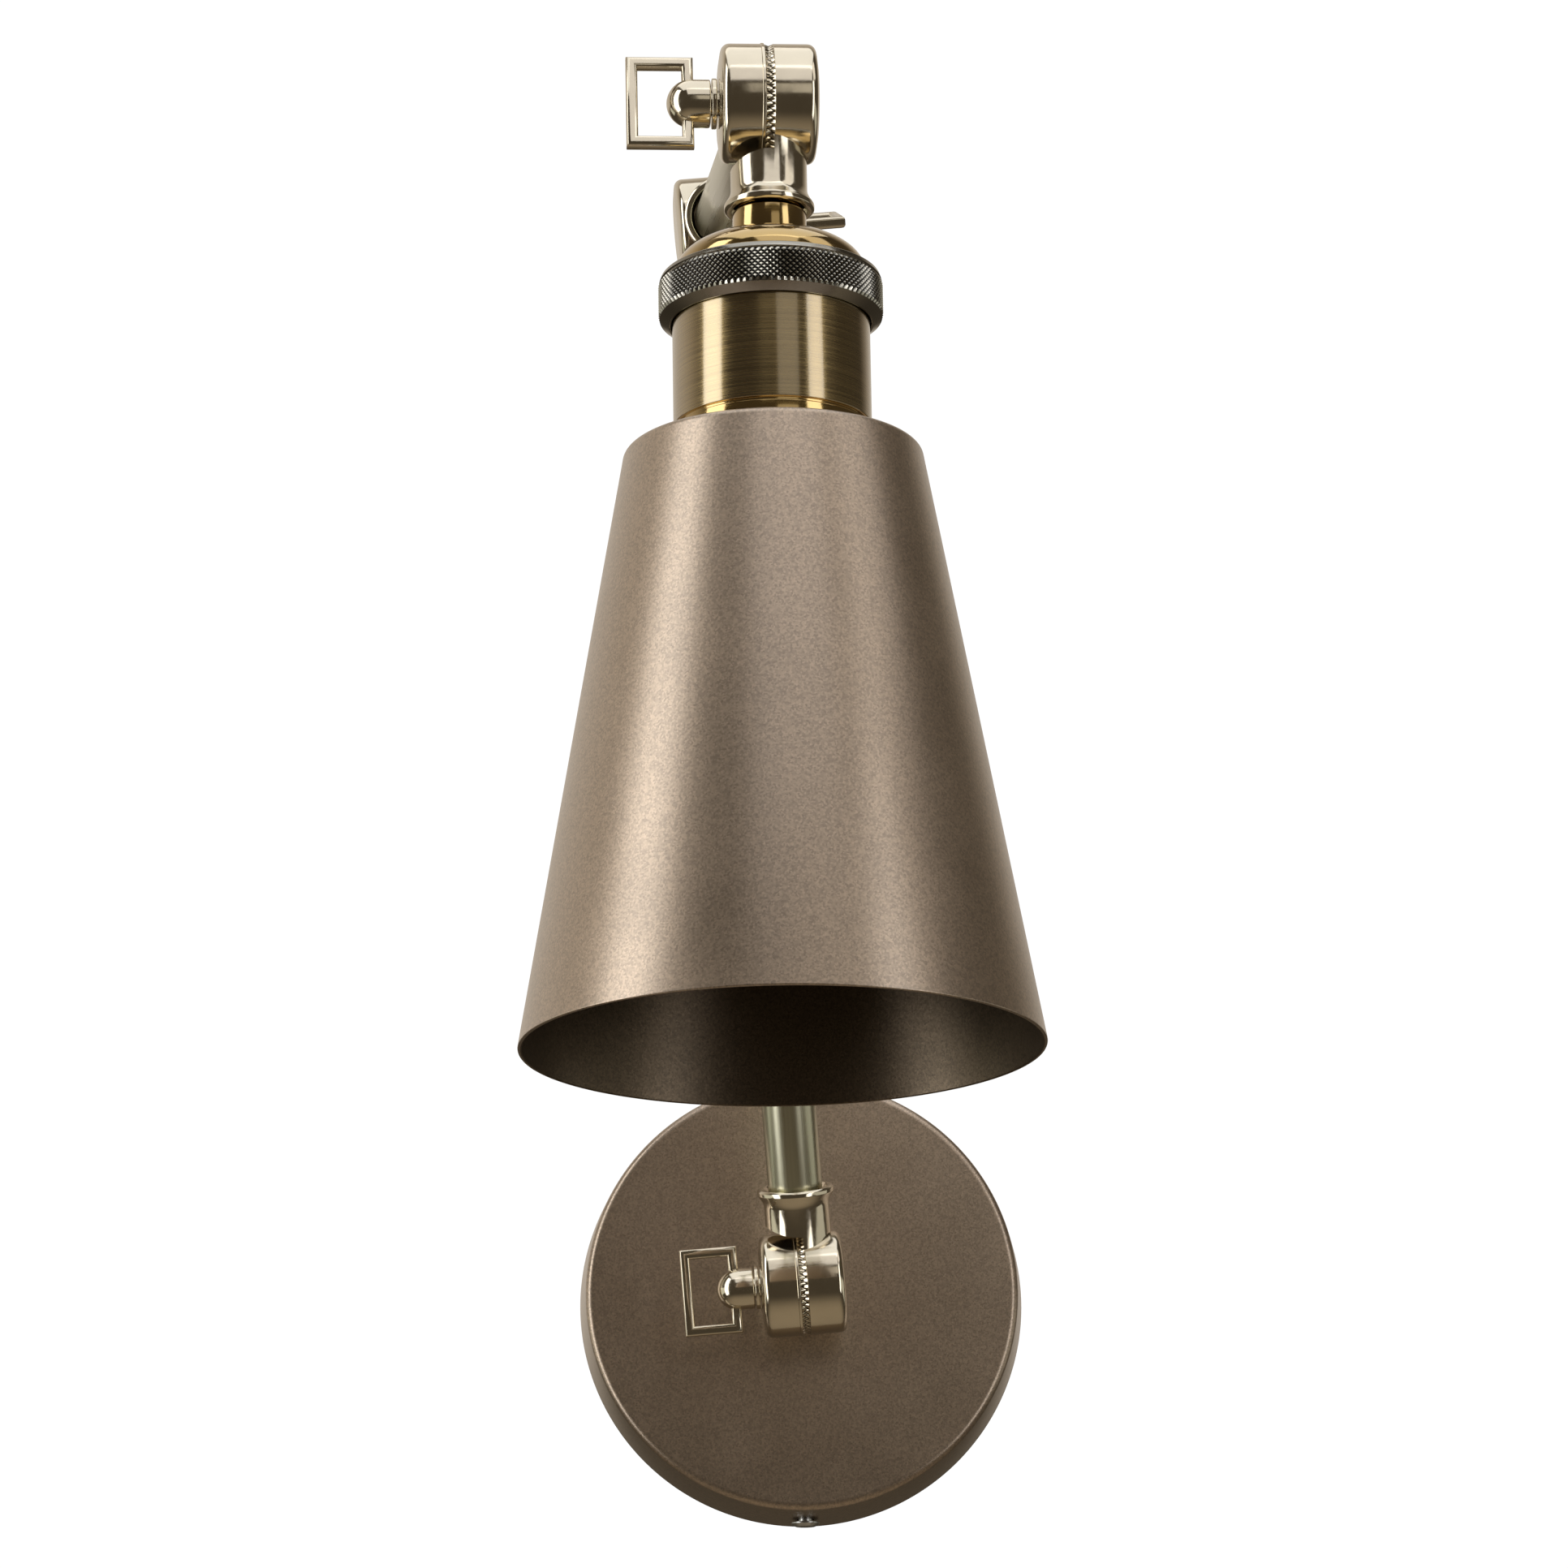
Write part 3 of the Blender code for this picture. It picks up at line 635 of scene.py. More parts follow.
def porcelain():
    colour, tone = (0.83, 0.81, 0.76), (noise, 120.0, 0.95, 1.03)
    return plain("porcelain", colour, 0.0, 0.16, tone, (350.0, 0.03, 0.3), (900.0, 0.12, 0.22))


def copper():
    return plain("copper", (0.80, 0.47, 0.30), 1.0, 0.28, (noise, 600.0, 0.7, 1.1), (2500.0, 0.01, 0.4))


def nylon():
    return plain("nylon", (0.74, 0.73, 0.68), 0.0, 0.45, (noise, 200.0, 0.95, 1.04), (1800.0, 0.02, 0.4))


def lead_black():
    colour, tone = (0.03, 0.03, 0.032), (noise, 800.0, 0.7, 1.6)
    return plain("lead_black", colour, 0.0, 0.55, tone, (2200.0, 0.02, 0.4))


LOOKS = {
    make.__name__: make()
    for make in (
        bronze_paint, painted_shade_inside, champagne_plate, pale_brass, antique_brass, golden_brass,
        dark_brass, knurled_brass, zinc_steel, porcelain, copper, nylon, lead_black,
    )
}


# Knuckles and keys


def tooth_wave(angle):
    """The zigzag of the seam: -1 to 1 and back once for each tooth."""
    turn = (angle * TEETH / (2 * pi)) % 1.0
    return 4 * abs(turn - 0.5) - 1


def dome(radius):
    """How far out a puck's side face stands at this radius."""
    share = max(0.0, radius - DOME_FLAT_R) / (DISC_R - DOME_FLAT_R)
    return DISC_W - DISC_DOME * share ** 2


def disc_outline(side, tapped):
    """A puck's outline as (radius, distance from the seam), and which of its points carry teeth."""
    face = SEAM_GAP / 2
    outline = [(SHANK_CLEAR_R, face + TOOTH_RELIEF), (TOOTH_START_R - 0.4 * MM, face + TOOTH_RELIEF)]
    outline += [(TOOTH_START_R, face), (DISC_R - TOOTH_CHAMFER, face)]
    toothed = (2, 3)
    rim = face + TOOTH_HEIGHT + 0.15 * MM
    outline.append((DISC_R - 0.1 * MM, rim))
    if side < 0:
        ridge = [(DISC_R, rim + 0.08 * MM), (RIDGE_R, rim + 0.12 * MM, 0.15 * MM)]
        outline += filleted(ridge + [(RIDGE_R, rim + 0.7 * MM, 0.15 * MM), (DISC_R, rim + 0.8 * MM)])
    else:
        outline.append((DISC_R, rim + 0.1 * MM))
    inner = DISC_R - 4 * MM
    rounding = filleted([(DISC_R, 4 * MM), (DISC_R, dome(DISC_R), DISC_ROUND), (inner, dome(inner))], 6)
    outline += rounding[:-1]
    radii = [inner + (DOME_FLAT_R - inner) * k / 5 for k in range(6)]
    outline += [(r, dome(r)) for r in radii]
    if tapped:
        return outline + [(0, DISC_W), (0, THREAD_DEPTH), (SHANK_CLEAR_R, THREAD_DEPTH)], toothed
    return outline + [(SHANK_CLEAR_R, DISC_W)], toothed


def toothed_disc(side, tapped, clock):
    """One puck about local X with radial teeth on its seam face; side -1 is left and +1 right."""
    steps = TEETH * TOOTH_STEPS
    outline, toothed = disc_outline(side, tapped)
    shape = bmesh.new()
    rings = []
    for n, (radius, along) in enumerate(outline):
        if radius == 0:
            rings.append([shape.verts.new((side * along, 0, 0))] * steps)
            continue
        height = TOOTH_HEIGHT * radius / DISC_R if n in toothed else 0.0
        ring = []
        for k in range(steps):
            angle = 2 * pi * k / steps
            x = side * along + height * tooth_wave(angle + clock)
            ring.append(shape.verts.new((x, -radius * sin(angle), radius * cos(angle))))
        rings.append(ring)
    join_rings(shape, rings)
    return shape


def neck_shape(end, socket):
    """The neck along +Z: flared collar, rounded bead, and a mouth for the tube or the stem."""
    bore, floor = (SOCKET_R, SOCKET_START) if socket else (STEM_R + GAP, STEM_FLOOR)
    outline = [(0, 4 * MM), (NECK_R, 4 * MM), (NECK_R, end - 4.4 * MM)]
    outline += [(NECK_R + 0.18 * MM, end - 3.5 * MM), (NECK_R + 0.6 * MM, end - 2.6 * MM)]
    outline += [(COLLAR_R - 0.25 * MM, end - 1.75 * MM), (COLLAR_R, end - 1.3 * MM, 0.3 * MM)]
    outline += [(COLLAR_R, end - 0.4 * MM, 0.35 * MM), (COLLAR_R - 0.5 * MM, end, 0.35 * MM)]
    if socket:
        outline += [(bore + 0.9 * MM, end, 0.2 * MM), (bore + 0.15 * MM, end - 1.5 * MM, 0.3 * MM)]
    else:
        outline += [(bore + 0.4 * MM, end, 0.1 * MM), (bore, end - 0.4 * MM, 0.1 * MM)]
    return turned(filleted(outline + [(bore, floor), (0, floor)]), ROUND)


def clocking(first, second):
    """The angle about local X from one frame's Z to another's."""
    x, start, end = (first.col[0].to_3d(), first.col[2].to_3d(), second.col[2].to_3d())
    return atan2(start.cross(end).dot(x), start.dot(end))


def knuckle_half(node_name, body, side, place, clock=0.0, end=COLLAR_END, socket=True, tapped=False):
    look = "champagne_plate"
    half = made(f"{node_name}_detail", toothed_disc(side, tapped, clock), look, place)
    neck = made("neck", neck_shape(end, socket), look, place)
    room = turned(rod(SWING_R, -side * 14 * MM, side * NECK_SETBACK), VAST, along_x=True)
    boolean(neck, [made("room", room, look, place)])
    boolean(half, [neck], "UNION")
    return shown(half, body, look, node_name)


def bow_shape():
    """The key's square ring: a bevelled bar taken round a rectangle with mitred corners."""
    half_bar, half_thick = BOW_BAR / 2, BOW_THICK / 2
    quarters = ((1, 1), (1, -1), (-1, -1), (-1, 1))
    section = filleted([(a * half_bar, b * half_thick, BOW_ROUND) for a, b in quarters], 3)
    centre = -(BOW_FAR - BOW_WIDTH / 2)
    half_w = BOW_WIDTH / 2 - half_bar
    half_h = BOW_HEIGHT / 2 - half_bar
    shape = bmesh.new()
    loops = []
    for sx, sz in ((-1, -1), (1, -1), (1, 1), (-1, 1)):
        corners = [(centre + sx * (half_w + out), thick, sz * (half_h + out)) for out, thick in section]
        loops.append([shape.verts.new(corner) for corner in corners])
    join_rings(shape, loops)
    return shape


def hub_outline():
    """The key's domed hub and its screw, as (radius, distance along -X)."""
    shoulder = WASHER_FACE + WASHER_T + GAP
    outline = [(0, -SHANK_REACH), (SHANK_R, -SHANK_REACH, 0.5 * MM), (SHANK_R, shoulder)]
    outline += [(HUB_R, shoulder, 0.3 * MM), (HUB_R, HUB_TIP - HUB_R)]
    outline = filleted(outline)
    for k in range(1, 12):
        angle = pi / 2 * k / 12
        outline.append((HUB_R * cos(angle), HUB_TIP - HUB_R + HUB_R * sin(angle)))
    return outline + [(0, HUB_TIP)]


def clamp_key(which, place):
    """The key with its bow and hub in one casting, and the washer under it."""
    look = "champagne_plate"
    body = f"{which}_key"
    hub = [(r, -s) for r, s in hub_outline()]
    key = made(f"{which}_key_detail", turned(hub, SMALL, along_x=True), look, place)
    boolean(key, [made("bow", bow_shape(), look, place)], "UNION")
    shown(key, body, look, f"{which}_clamp_key")
    ring = sleeve(WASHER_R, SHANK_CLEAR_R, -(WASHER_FACE + WASHER_T), -WASHER_FACE, 0.2 * MM)
    washer = made(f"{which}_washer_detail", turned(ring, SMALL, along_x=True), look, place)
    shown(washer, body, look, f"{which}_key_washer")


def build_knuckles():
    at_wall = clocking(BASE, LOWER)
    knuckle_half("wall_knuckle_base_half", "wall", -1, BASE, end=BASE_COLLAR_END, socket=False)
    knuckle_half("wall_knuckle_arm_half", "lower_arm", 1, LOWER, at_wall, tapped=True)
    at_elbow = clocking(ELBOW_BACK, UPPER)
    knuckle_half("elbow_lower_half", "lower_arm", 1, ELBOW_BACK)
    knuckle_half("elbow_upper_half", "upper_arm", -1, UPPER, at_elbow, tapped=True)
    at_head = clocking(HEAD_BACK, HEAD)
    knuckle_half("head_knuckle_arm_half", "upper_arm", -1, HEAD_BACK)
    knuckle_half("head_knuckle_lamp_half", "head", 1, HEAD, at_head, tapped=True)
    for which, place in (("wall", WALL_KEY), ("elbow", ELBOW_KEY), ("head", HEAD_KEY)):
        clamp_key(which, place)


# Arms


def build_arm(which, length, place):
    """A drawn tube between two collars; the lead inside keeps its plain shape."""
    ring = sleeve(TUBE_R, TUBE_R - TUBE_WALL, TUBE_INSET, length - TUBE_INSET, 0.25 * MM)
    finished(f"{which}_tube", turned(ring, ROUND), "pale_brass", place, which)


# Wall plate


def build_plate():
    bend = PLATE_DEPTH - PLATE_EDGE
    hole = STEM_R + GAP
    slope = (PLATE_R_REAR - PLATE_R_FRONT) / bend
    corner = PLATE_R_FRONT - slope * PLATE_EDGE
    outline = [(PLATE_R_REAR, 0, 0.25 * MM), (corner, PLATE_DEPTH, PLATE_EDGE)]
    outline += [(hole, PLATE_DEPTH, 0.2 * MM), (hole, PLATE_DEPTH - SHEET)]
    outline.append((corner - SHEET, PLATE_DEPTH - SHEET, PLATE_EDGE - SHEET))
    outline.append((PLATE_R_REAR - SHEET, 0, 0.25 * MM))
    plate = made("backplate_detail", turned(filleted(outline, 8), VAST), "bronze_paint", PLATE)
    boolean(plate, [drill(SIDE_SCREW_R + 0.4 * MM, -SIDE_CUT, SIDE_CUT, SIDE_SCREWS)])
    shown(plate, "wall", "bronze_paint", "backplate")
    for which, side in (("top", 1), ("bottom", -1)):
        build_plate_screw(which, side)


def build_plate_screw(which, side):
    """A low-headed slotted screw through the plate's side."""
    seat = PLATE_R_REAR - 0.3 * MM
    top = seat + 1.2 * MM
    head_r = 3.4 * MM
    outline = [(0, 45 * MM), (SIDE_SCREW_R, 45 * MM, 0.4 * MM), (SIDE_SCREW_R, seat)]
    outline += [(head_r, seat, 0.15 * MM), (head_r, seat + 0.5 * MM, 0.3 * MM)]
    outline += [(head_r - 1.1 * MM, top, 0.6 * MM), (0, top)]
    place = SIDE_SCREWS if side > 0 else SIDE_SCREWS @ Matrix.Rotation(pi, 4, "X")
    slotted_screw(f"plate_screw_{which}_detail", f"plate_screw_{which}", "wall", outline, place, top)


def build_strap():
    """The bar on the wall with its bent ends, wall slots, cable hole and tab holes."""
    look = "zinc_steel"
    half, inner = STRAP_HALF, STRAP_HALF - STRAP_T
    bend = 2.2 * MM
    outline = [(0, -half, bend), (0, half, bend), (-STRAP_TAB, half), (-STRAP_TAB, inner)]
    outline += [(-STRAP_T, inner, bend - STRAP_T), (-STRAP_T, -inner, bend - STRAP_T)]
    outline += [(-STRAP_TAB, -inner), (-STRAP_TAB, -half)]
    across = STRAP_WIDTH / 2
    strap = made("mounting_strap_detail", extruded(filleted(outline, 5), -across, across), look, Matrix())
    tools = [drill(SIDE_SCREW_R + GAP, -SIDE_CUT, SIDE_CUT, SIDE_SCREWS)]
    tools.append(drill(4 * MM, -3 * MM, 3 * MM, moved(0, 0, CABLE_HOLE_Z) @ PLATE))
    for side in (1, -1):
        place = moved(0, 0, side * WALL_SLOT_Z) @ Matrix.Rotation(-pi / 2, 4, "Z")
        tools.append(made("wall_slot", slot_shape(), None, place))
    boolean(strap, tools)
    bevelled(strap, 0.25 * MM)
    shown(strap, "wall", look, "mounting_strap")


def slot_shape():
    """A round-ended cutter along X, wide along Y."""
    reach, radius = 3.5 * MM, 2.3 * MM
    rim = []
    for sign in (1, -1):
        angles = [radians(-90 + 15 * k) for k in range(13)]
        rim += [(sign * (reach + radius * cos(a)), sign * radius * sin(a)) for a in angles]
    return extruded(rim, -3 * MM, 5 * MM)


def threaded(outline, steps, pitch):
    """A turned solid of (radius, along, depth) points, whose radius follows a rounded thread."""
    shape = bmesh.new()
    rings = []
    for radius, along, depth in outline:
        ring = []
        for k in range(steps):
            angle = 2 * pi * k / steps
            r = radius + depth * cos(2 * pi * along / pitch - angle)
            ring.append(shape.verts.new((r * cos(angle), r * sin(angle), along)))
        rings.append(ring)
    join_rings(shape, rings)
    return shape


def thread_rows(radius, start, end, pitch, depth, per_turn=8):
    """Points down a thread, fading out over its first and last half turn."""
    count = max(2, round((end - start) / pitch * per_turn))
    rows = []
    for k in range(count + 1):
        along = start + (end - start) * k / count
        fade = min(1.0, (along - start) / (pitch / 2), (end - along) / (pitch / 2))
        rows.append((radius, along, depth * fade))
    return rows


def build_stem():
    """The hollow thread through the plate, its washer and its nut."""
    start, end = 12 * MM, WALL_STANDOFF - CAD_DISC_R - 0.9 * MM
    rows = thread_rows(STEM_R - 0.25 * MM, start, end, STEM_PITCH, 0.22 * MM)
    rows += [(STEM_BORE, end, 0), (STEM_BORE, start, 0)]
    finished("stem_nipple", threaded(rows, SMALL, STEM_PITCH), "zinc_steel", PLATE, "wall")
    front = PLATE_DEPTH - SHEET - GAP
    ring = sleeve(STEM_WASHER_R, STEM_R + GAP, front - STEM_WASHER_T, front, 0.2 * MM)
    finished("stem_washer", turned(ring, ROUND), "zinc_steel", PLATE, "wall")
    nut_front = front - STEM_WASHER_T - GAP
    corner_r = STEM_NUT_HALF_FLATS / cos(pi / 6)
    outline = [(0, nut_front - STEM_NUT_T), (corner_r, nut_front - STEM_NUT_T), (corner_r, nut_front)]
    blank = turned(outline + [(0, nut_front)], 6)
    nut = made("stem_locknut_detail", blank, "zinc_steel", PLATE)
    rounding = [(0, -1 * MM), (STEM_NUT_HALF_FLATS, -1 * MM), (corner_r + 0.3 * MM, 0.6 * MM)]
    rounding += [(corner_r + 0.3 * MM, STEM_NUT_T - 0.6 * MM), (STEM_NUT_HALF_FLATS, STEM_NUT_T + 1 * MM)]
    chamfers = turned(rounding + [(0, STEM_NUT_T + 1 * MM)], ROUND)
    place = PLATE @ moved(0, 0, nut_front - STEM_NUT_T)
    boolean(nut, [made("chamfers", chamfers, None, place)], "INTERSECT")
    hole = drill(STEM_R + GAP, nut_front - 5 * MM, nut_front + 2 * MM, PLATE)
    boolean(nut, [hole])
    shown(nut, "wall", "zinc_steel", "stem_locknut")


def build_wiring():
    """The terminal block with its three ways, and the earth screw."""
    face = STRAP_T + GAP
    centre = moved(0, -face - TERMINAL_SIZE[1] / 2, TERMINAL_Z)
    terminal = made("terminal_block_detail", block(TERMINAL_SIZE, centre), "nylon", Matrix())
    tools = []
    for k in (-1, 0, 1):
        way = moved(k * TERMINAL_PITCH, -face - 3.6 * MM, TERMINAL_Z)
        tools.append(drill(1.6 * MM, -8 * MM, 8 * MM, way))
        well = moved(k * TERMINAL_PITCH, 0, TERMINAL_Z) @ PLATE
        tools.append(drill(1.7 * MM, 6.5 * MM, 12 * MM, well))
    for k in (-0.5, 0.5):
        groove = moved(k * TERMINAL_PITCH, -face - TERMINAL_SIZE[1], TERMINAL_Z)
        tools.append(drill(0.9 * MM, -8 * MM, 8 * MM, groove))
    boolean(terminal, tools)
    bevelled(terminal, 0.3 * MM)
    shown(terminal, "wall", "nylon", "terminal_block")
    top = face + 2.3 * MM
    head = [(0, face), (3.8 * MM, face), (3.8 * MM, face + 1.1 * MM, 0.4 * MM), (2.6 * MM, top, 0.6 * MM)]
    place = moved(0, 0, EARTH_Z) @ PLATE
    slotted_screw("earth_screw_detail", "earth_screw", "wall", head + [(0, top)], place, top)


def slotted_screw(name, node_name, body, outline, place, top, width=0.8 * MM):
    """A turned screw with a driver slot across the top of its head."""
    screw = made(name, turned(filleted(outline), SMALL), "zinc_steel", place)
    slot = block((12 * MM, width, 1.1 * MM), moved(0, 0, top))
    boolean(screw, [made("slot", slot, None, place)])
    shown(screw, body, "zinc_steel", node_name)


# Lamp head


def cap_surface(radius):
    """How far down the head the cap's dome lies at this radius."""
    fall = (1 - (radius / CAP_R) ** CAP_POWER) ** (1 / CAP_POWER)
    return CAP_TOP + CAP_HEIGHT * (1 - fall)


def build_cap():
    """The spun dome with the nipple's hole, and its skirt inside the ring."""
    wall = 1.0 * MM
    hole = STEM_R + GAP
    rim_start = NIPPLE_R - 0.8 * MM
    radii = [rim_start + (CAP_R - rim_start) * sin(pi / 2 * k / 26) for k in range(27)]
    outer = [(r, cap_surface(r)) for r in radii]
    inside = [(max(r - wall, hole), s + wall * 0.9) for r, s in outer]
    outline = [(hole, outer[0][1])] + outer + [(CAP_R, CAP_END), (CAP_R - wall, CAP_END)]
    outline += inside[::-1] + [(hole, outer[0][1] + wall)]
    shape = turned(list(dict.fromkeys(outline)), WIDE)
    finished("holder_cap", shape, "golden_brass", HEAD, "head", "antique_brass")


def build_nipple():
    """The short turned collar between the knuckle and the cap."""
    seat = cap_surface(NIPPLE_R) - 0.15 * MM
    outline = [(TUBE_R, TUBE_INSET), (TUBE_R, 23.2 * MM), (NIPPLE_R, 24.1 * MM, 0.3 * MM)]
    outline += [(NIPPLE_R, seat, 0.35 * MM), (STEM_R, seat), (STEM_R, CAP_TOP + 8 * MM)]
    outline += [(STEM_BORE, CAP_TOP + 8 * MM), (STEM_BORE, TUBE_INSET)]
    shape = turned(filleted(outline), ROUND)
    finished("lamp_nipple", shape, "golden_brass", HEAD, "head", "antique_brass")


def knurled_rings(shape):
    """The ring's outline as rings of points; the knurl's points alternate between peak and groove."""
    steps = 2 * KNURLS
    inner, low_inner = CAP_R + GAP, SHELL_R + GAP
    above = filleted([
        (inner, RING_TOP, 0.1 * MM), (RING_R - 1.7 * MM, RING_TOP, 0.5 * MM),
        (RING_R - 0.55 * MM, RING_TOP + 0.55 * MM, 0.5 * MM), (RING_R - 0.25 * MM, KNURL_TOP - 0.25 * MM),
    ])
    above.append((RING_R - 0.5 * MM, KNURL_TOP))
    below = [(RING_R - 0.5 * MM, KNURL_END), (RING_R - 0.25 * MM, KNURL_END + 0.15 * MM)]
    below += filleted([
        (RING_R - 0.35 * MM, KNURL_END + 0.2 * MM), (RING_R - 2.1 * MM, RING_END, 0.15 * MM),
        (low_inner, RING_END, 0.1 * MM), (low_inner, CAP_END + GAP), (inner, CAP_END + GAP),
    ])
    rows = [(r, s, 0) for r, s in above]
    for j in range(1, 2 * KNURL_ROWS):
        along = KNURL_TOP + (KNURL_END - KNURL_TOP) * j / (2 * KNURL_ROWS)
        rows.append((RING_R, along, j))
    rows += [(r, s, 0) for r, s in below]
    groove = shape.verts.layers.float.new("groove")
    rings = []
    for radius, along, j in rows:
        ring = []
        for k in range(steps):
            angle = 2 * pi * k / steps
            low = bool(j) and (j + k) % 2 == 1
            r = radius - (KNURL_DEPTH if low else 0)
            point = shape.verts.new((r * cos(angle), r * sin(angle), along))
            # The groove mark is 1 in the grooves, 0 on the tips and 0.5 on the plain ends; the look darkens
            # with it as painted shade, in the grooves along with the toning.
            point[groove] = 1.0 if low else 0.0 if j else 0.5
            ring.append(point)
        rings.append((ring, j))
    return rings


def build_knurled_ring():
    """The clamping ring, with real diamond knurling split along its grooves."""
    shape = bmesh.new()
    rings = knurled_rings(shape)
    for (ring, j), (after, j_after) in zip(rings, rings[1:] + rings[:1]):
        for k in range(len(ring)):
            n = (k + 1) % len(ring)
            corners = [ring[k], ring[n], after[n], after[k]]
            if not j or not j_after:
                shape.faces.new(corners)
                continue
            if (j + k) % 2 == 0:
                corners = corners[1:] + corners[:1]
            shape.faces.new(corners[:3])
            shape.faces.new([corners[2], corners[3], corners[0]])
    finished("knurled_ring", shape, "knurled_brass", HEAD, "head", "dark_brass", KNURL_SHARP)


def build_shell():
    """The brushed cylinder, the polished band under it and the threaded skirt in the shade."""
    top, foot, inner = CAP_END + GAP, SHADE_TOP - 0.25 * MM, SKIRT_R - 1.2 * MM
    band_r = SHELL_R - 0.35 * MM
    groove_r = band_r - 0.25 * MM
    smooth = filleted([
        (inner, top), (SHELL_R, top), (SHELL_R, BAND_TOP, 0.2 * MM), (groove_r, BAND_TOP + 0.2 * MM),
        (groove_r, BAND_TOP + 0.55 * MM), (band_r, BAND_TOP + 0.75 * MM, 0.2 * MM),
        (band_r, foot, 0.3 * MM), (SKIRT_R, foot),
    ])
    rows = [(r, s, 0) for r, s in smooth]
    rows += thread_rows(SKIRT_R - 0.35 * MM, foot + 0.4 * MM, SKIRT_END - 0.5 * MM, SKIRT_PITCH, 0.3 * MM)
    rows += [(SKIRT_R - 0.6 * MM, SKIRT_END, 0), (inner, SKIRT_END, 0)]
    shell = made("holder_shell_detail", threaded(rows, WIDE, SKIRT_PITCH), "antique_brass", HEAD)
    shell.data.materials.append(LOOKS["golden_brass"])
    for face in shell.data.polygons:
        if BAND_TOP < face.center.z < SHADE_TOP:
            face.material_index = 1
    shown(shell, "head", "antique_brass", "holder_shell")


def build_shade():
    """The spun cone: flat top, small rounded shoulder, straight wall and a soft lip."""
    slope = (SHADE_BOTTOM_R - SHADE_TOP_R) / (SHADE_BOTTOM - SHADE_TOP)
    wall = SHADE_SHEET * sqrt(1 + slope * slope)
    hole = SKIRT_R + GAP
    lip = 0.3 * MM
    inner_top = SHADE_TOP + SHADE_SHEET
    top_r = SHADE_TOP_R - SHADE_SHOULDER * slope
    outline = [(hole, SHADE_TOP, 0.1 * MM), (top_r, SHADE_TOP, SHADE_SHOULDER)]
    outline += [(SHADE_BOTTOM_R, SHADE_BOTTOM, lip), (SHADE_BOTTOM_R - wall, SHADE_BOTTOM, lip)]
    outline += [(top_r + slope * SHADE_SHEET - wall, inner_top, SHADE_SHOULDER - SHADE_SHEET)]
    outline += [(hole, inner_top)]
    shade = made("shade_detail", turned(filleted(outline, 8), VAST), "bronze_paint", HEAD)
    # The inside faces and the underside of the top take the much darker paint as painted shade.
    shade.data.materials.append(LOOKS["painted_shade_inside"])
    for face in shade.data.polygons:
        outward = Vector((face.center.x, face.center.y, 0)).normalized()
        ceiling = face.normal.z > 0.5 and face.center.z < SHADE_TOP + 3 * MM
        if ceiling or face.normal.dot(outward) < -0.2:
            face.material_index = 1
    shown(shade, "head", "bronze_paint", "shade")
    build_shade_ring()


def build_shade_ring():
    """The flat ring that clamps the shade from inside, with grip notches round its rim."""
    seat = SHADE_TOP + SHADE_SHEET + 0.1 * MM
    ring = sleeve(SHADE_RING_R, SKIRT_R + GAP, seat, SHADE_RING_END, 0.5 * MM)
    clamp = made("shade_ring_detail", turned(ring, WIDE), "dark_brass", HEAD)
    tools = []
    for k in range(NOTCHES):
        turn = Matrix.Rotation(2 * pi * k / NOTCHES, 4, "Z") @ moved(NOTCH_AT, 0, 0)
        tools.append(drill(NOTCH_R, SHADE_TOP, SHADE_TOP + 8 * MM, HEAD @ turn))
    boolean(clamp, [joined(tools)])
    shown(clamp, "head", "dark_brass", "shade_ring")


def joined(objects):
    """One object from several that don't touch."""
    whole = bmesh.new()
    for item in objects:
        part = item.data.copy()
        part.transform(item.matrix_world)
        whole.from_mesh(part)
        bpy.data.objects.remove(item, do_unlink=True)
    return made("joined", whole, None, Matrix())


def build_lamp_socket():
    """The porcelain insert with its screw shell, centre contact and terminal screws."""
    top, floor = INSERT_TOP, INSERT_FLOOR
    outline = [(0, top), (INSERT_R, top, 0.8 * MM), (INSERT_R, INSERT_END, 0.8 * MM)]
    outline += [(INSERT_WELL_R, INSERT_END, 0.8 * MM), (INSERT_WELL_R, floor, 1.0 * MM), (0, floor)]
    insert = made("holder_insert_detail", turned(filleted(outline), ROUND), "porcelain", HEAD)
    wells = []
    for which, side in (("line", -1), ("neutral", 1)):
        place = HEAD @ moved(0, side * TERMINAL_OFFSET, 0)
        post = [(0, top - 1.6 * MM), (2.4 * MM, top - 1.6 * MM, 0.4 * MM), (2.4 * MM, top + 0.2 * MM)]
        post += [(1.4 * MM, top + 0.2 * MM), (1.4 * MM, top + 4 * MM, 0.2 * MM), (0, top + 4 * MM)]
        names = (f"{which}_screw_detail", f"{which}_terminal_screw")
        slotted_screw(*names, "head", post, place, top - 1.6 * MM, 0.6 * MM)
        well = [(0, top - 1 * MM), (2.7 * MM, top - 1 * MM), (2.7 * MM, top + 0.5 * MM)]
        well += [(1.7 * MM, top + 0.5 * MM), (1.7 * MM, top + 5 * MM), (0, top + 5 * MM)]
        wells.append(made("well", turned(well, SMALL), None, place))
    boolean(insert, wells)
    shown(insert, "head", "porcelain", "holder_insert")
    build_screw_shell()


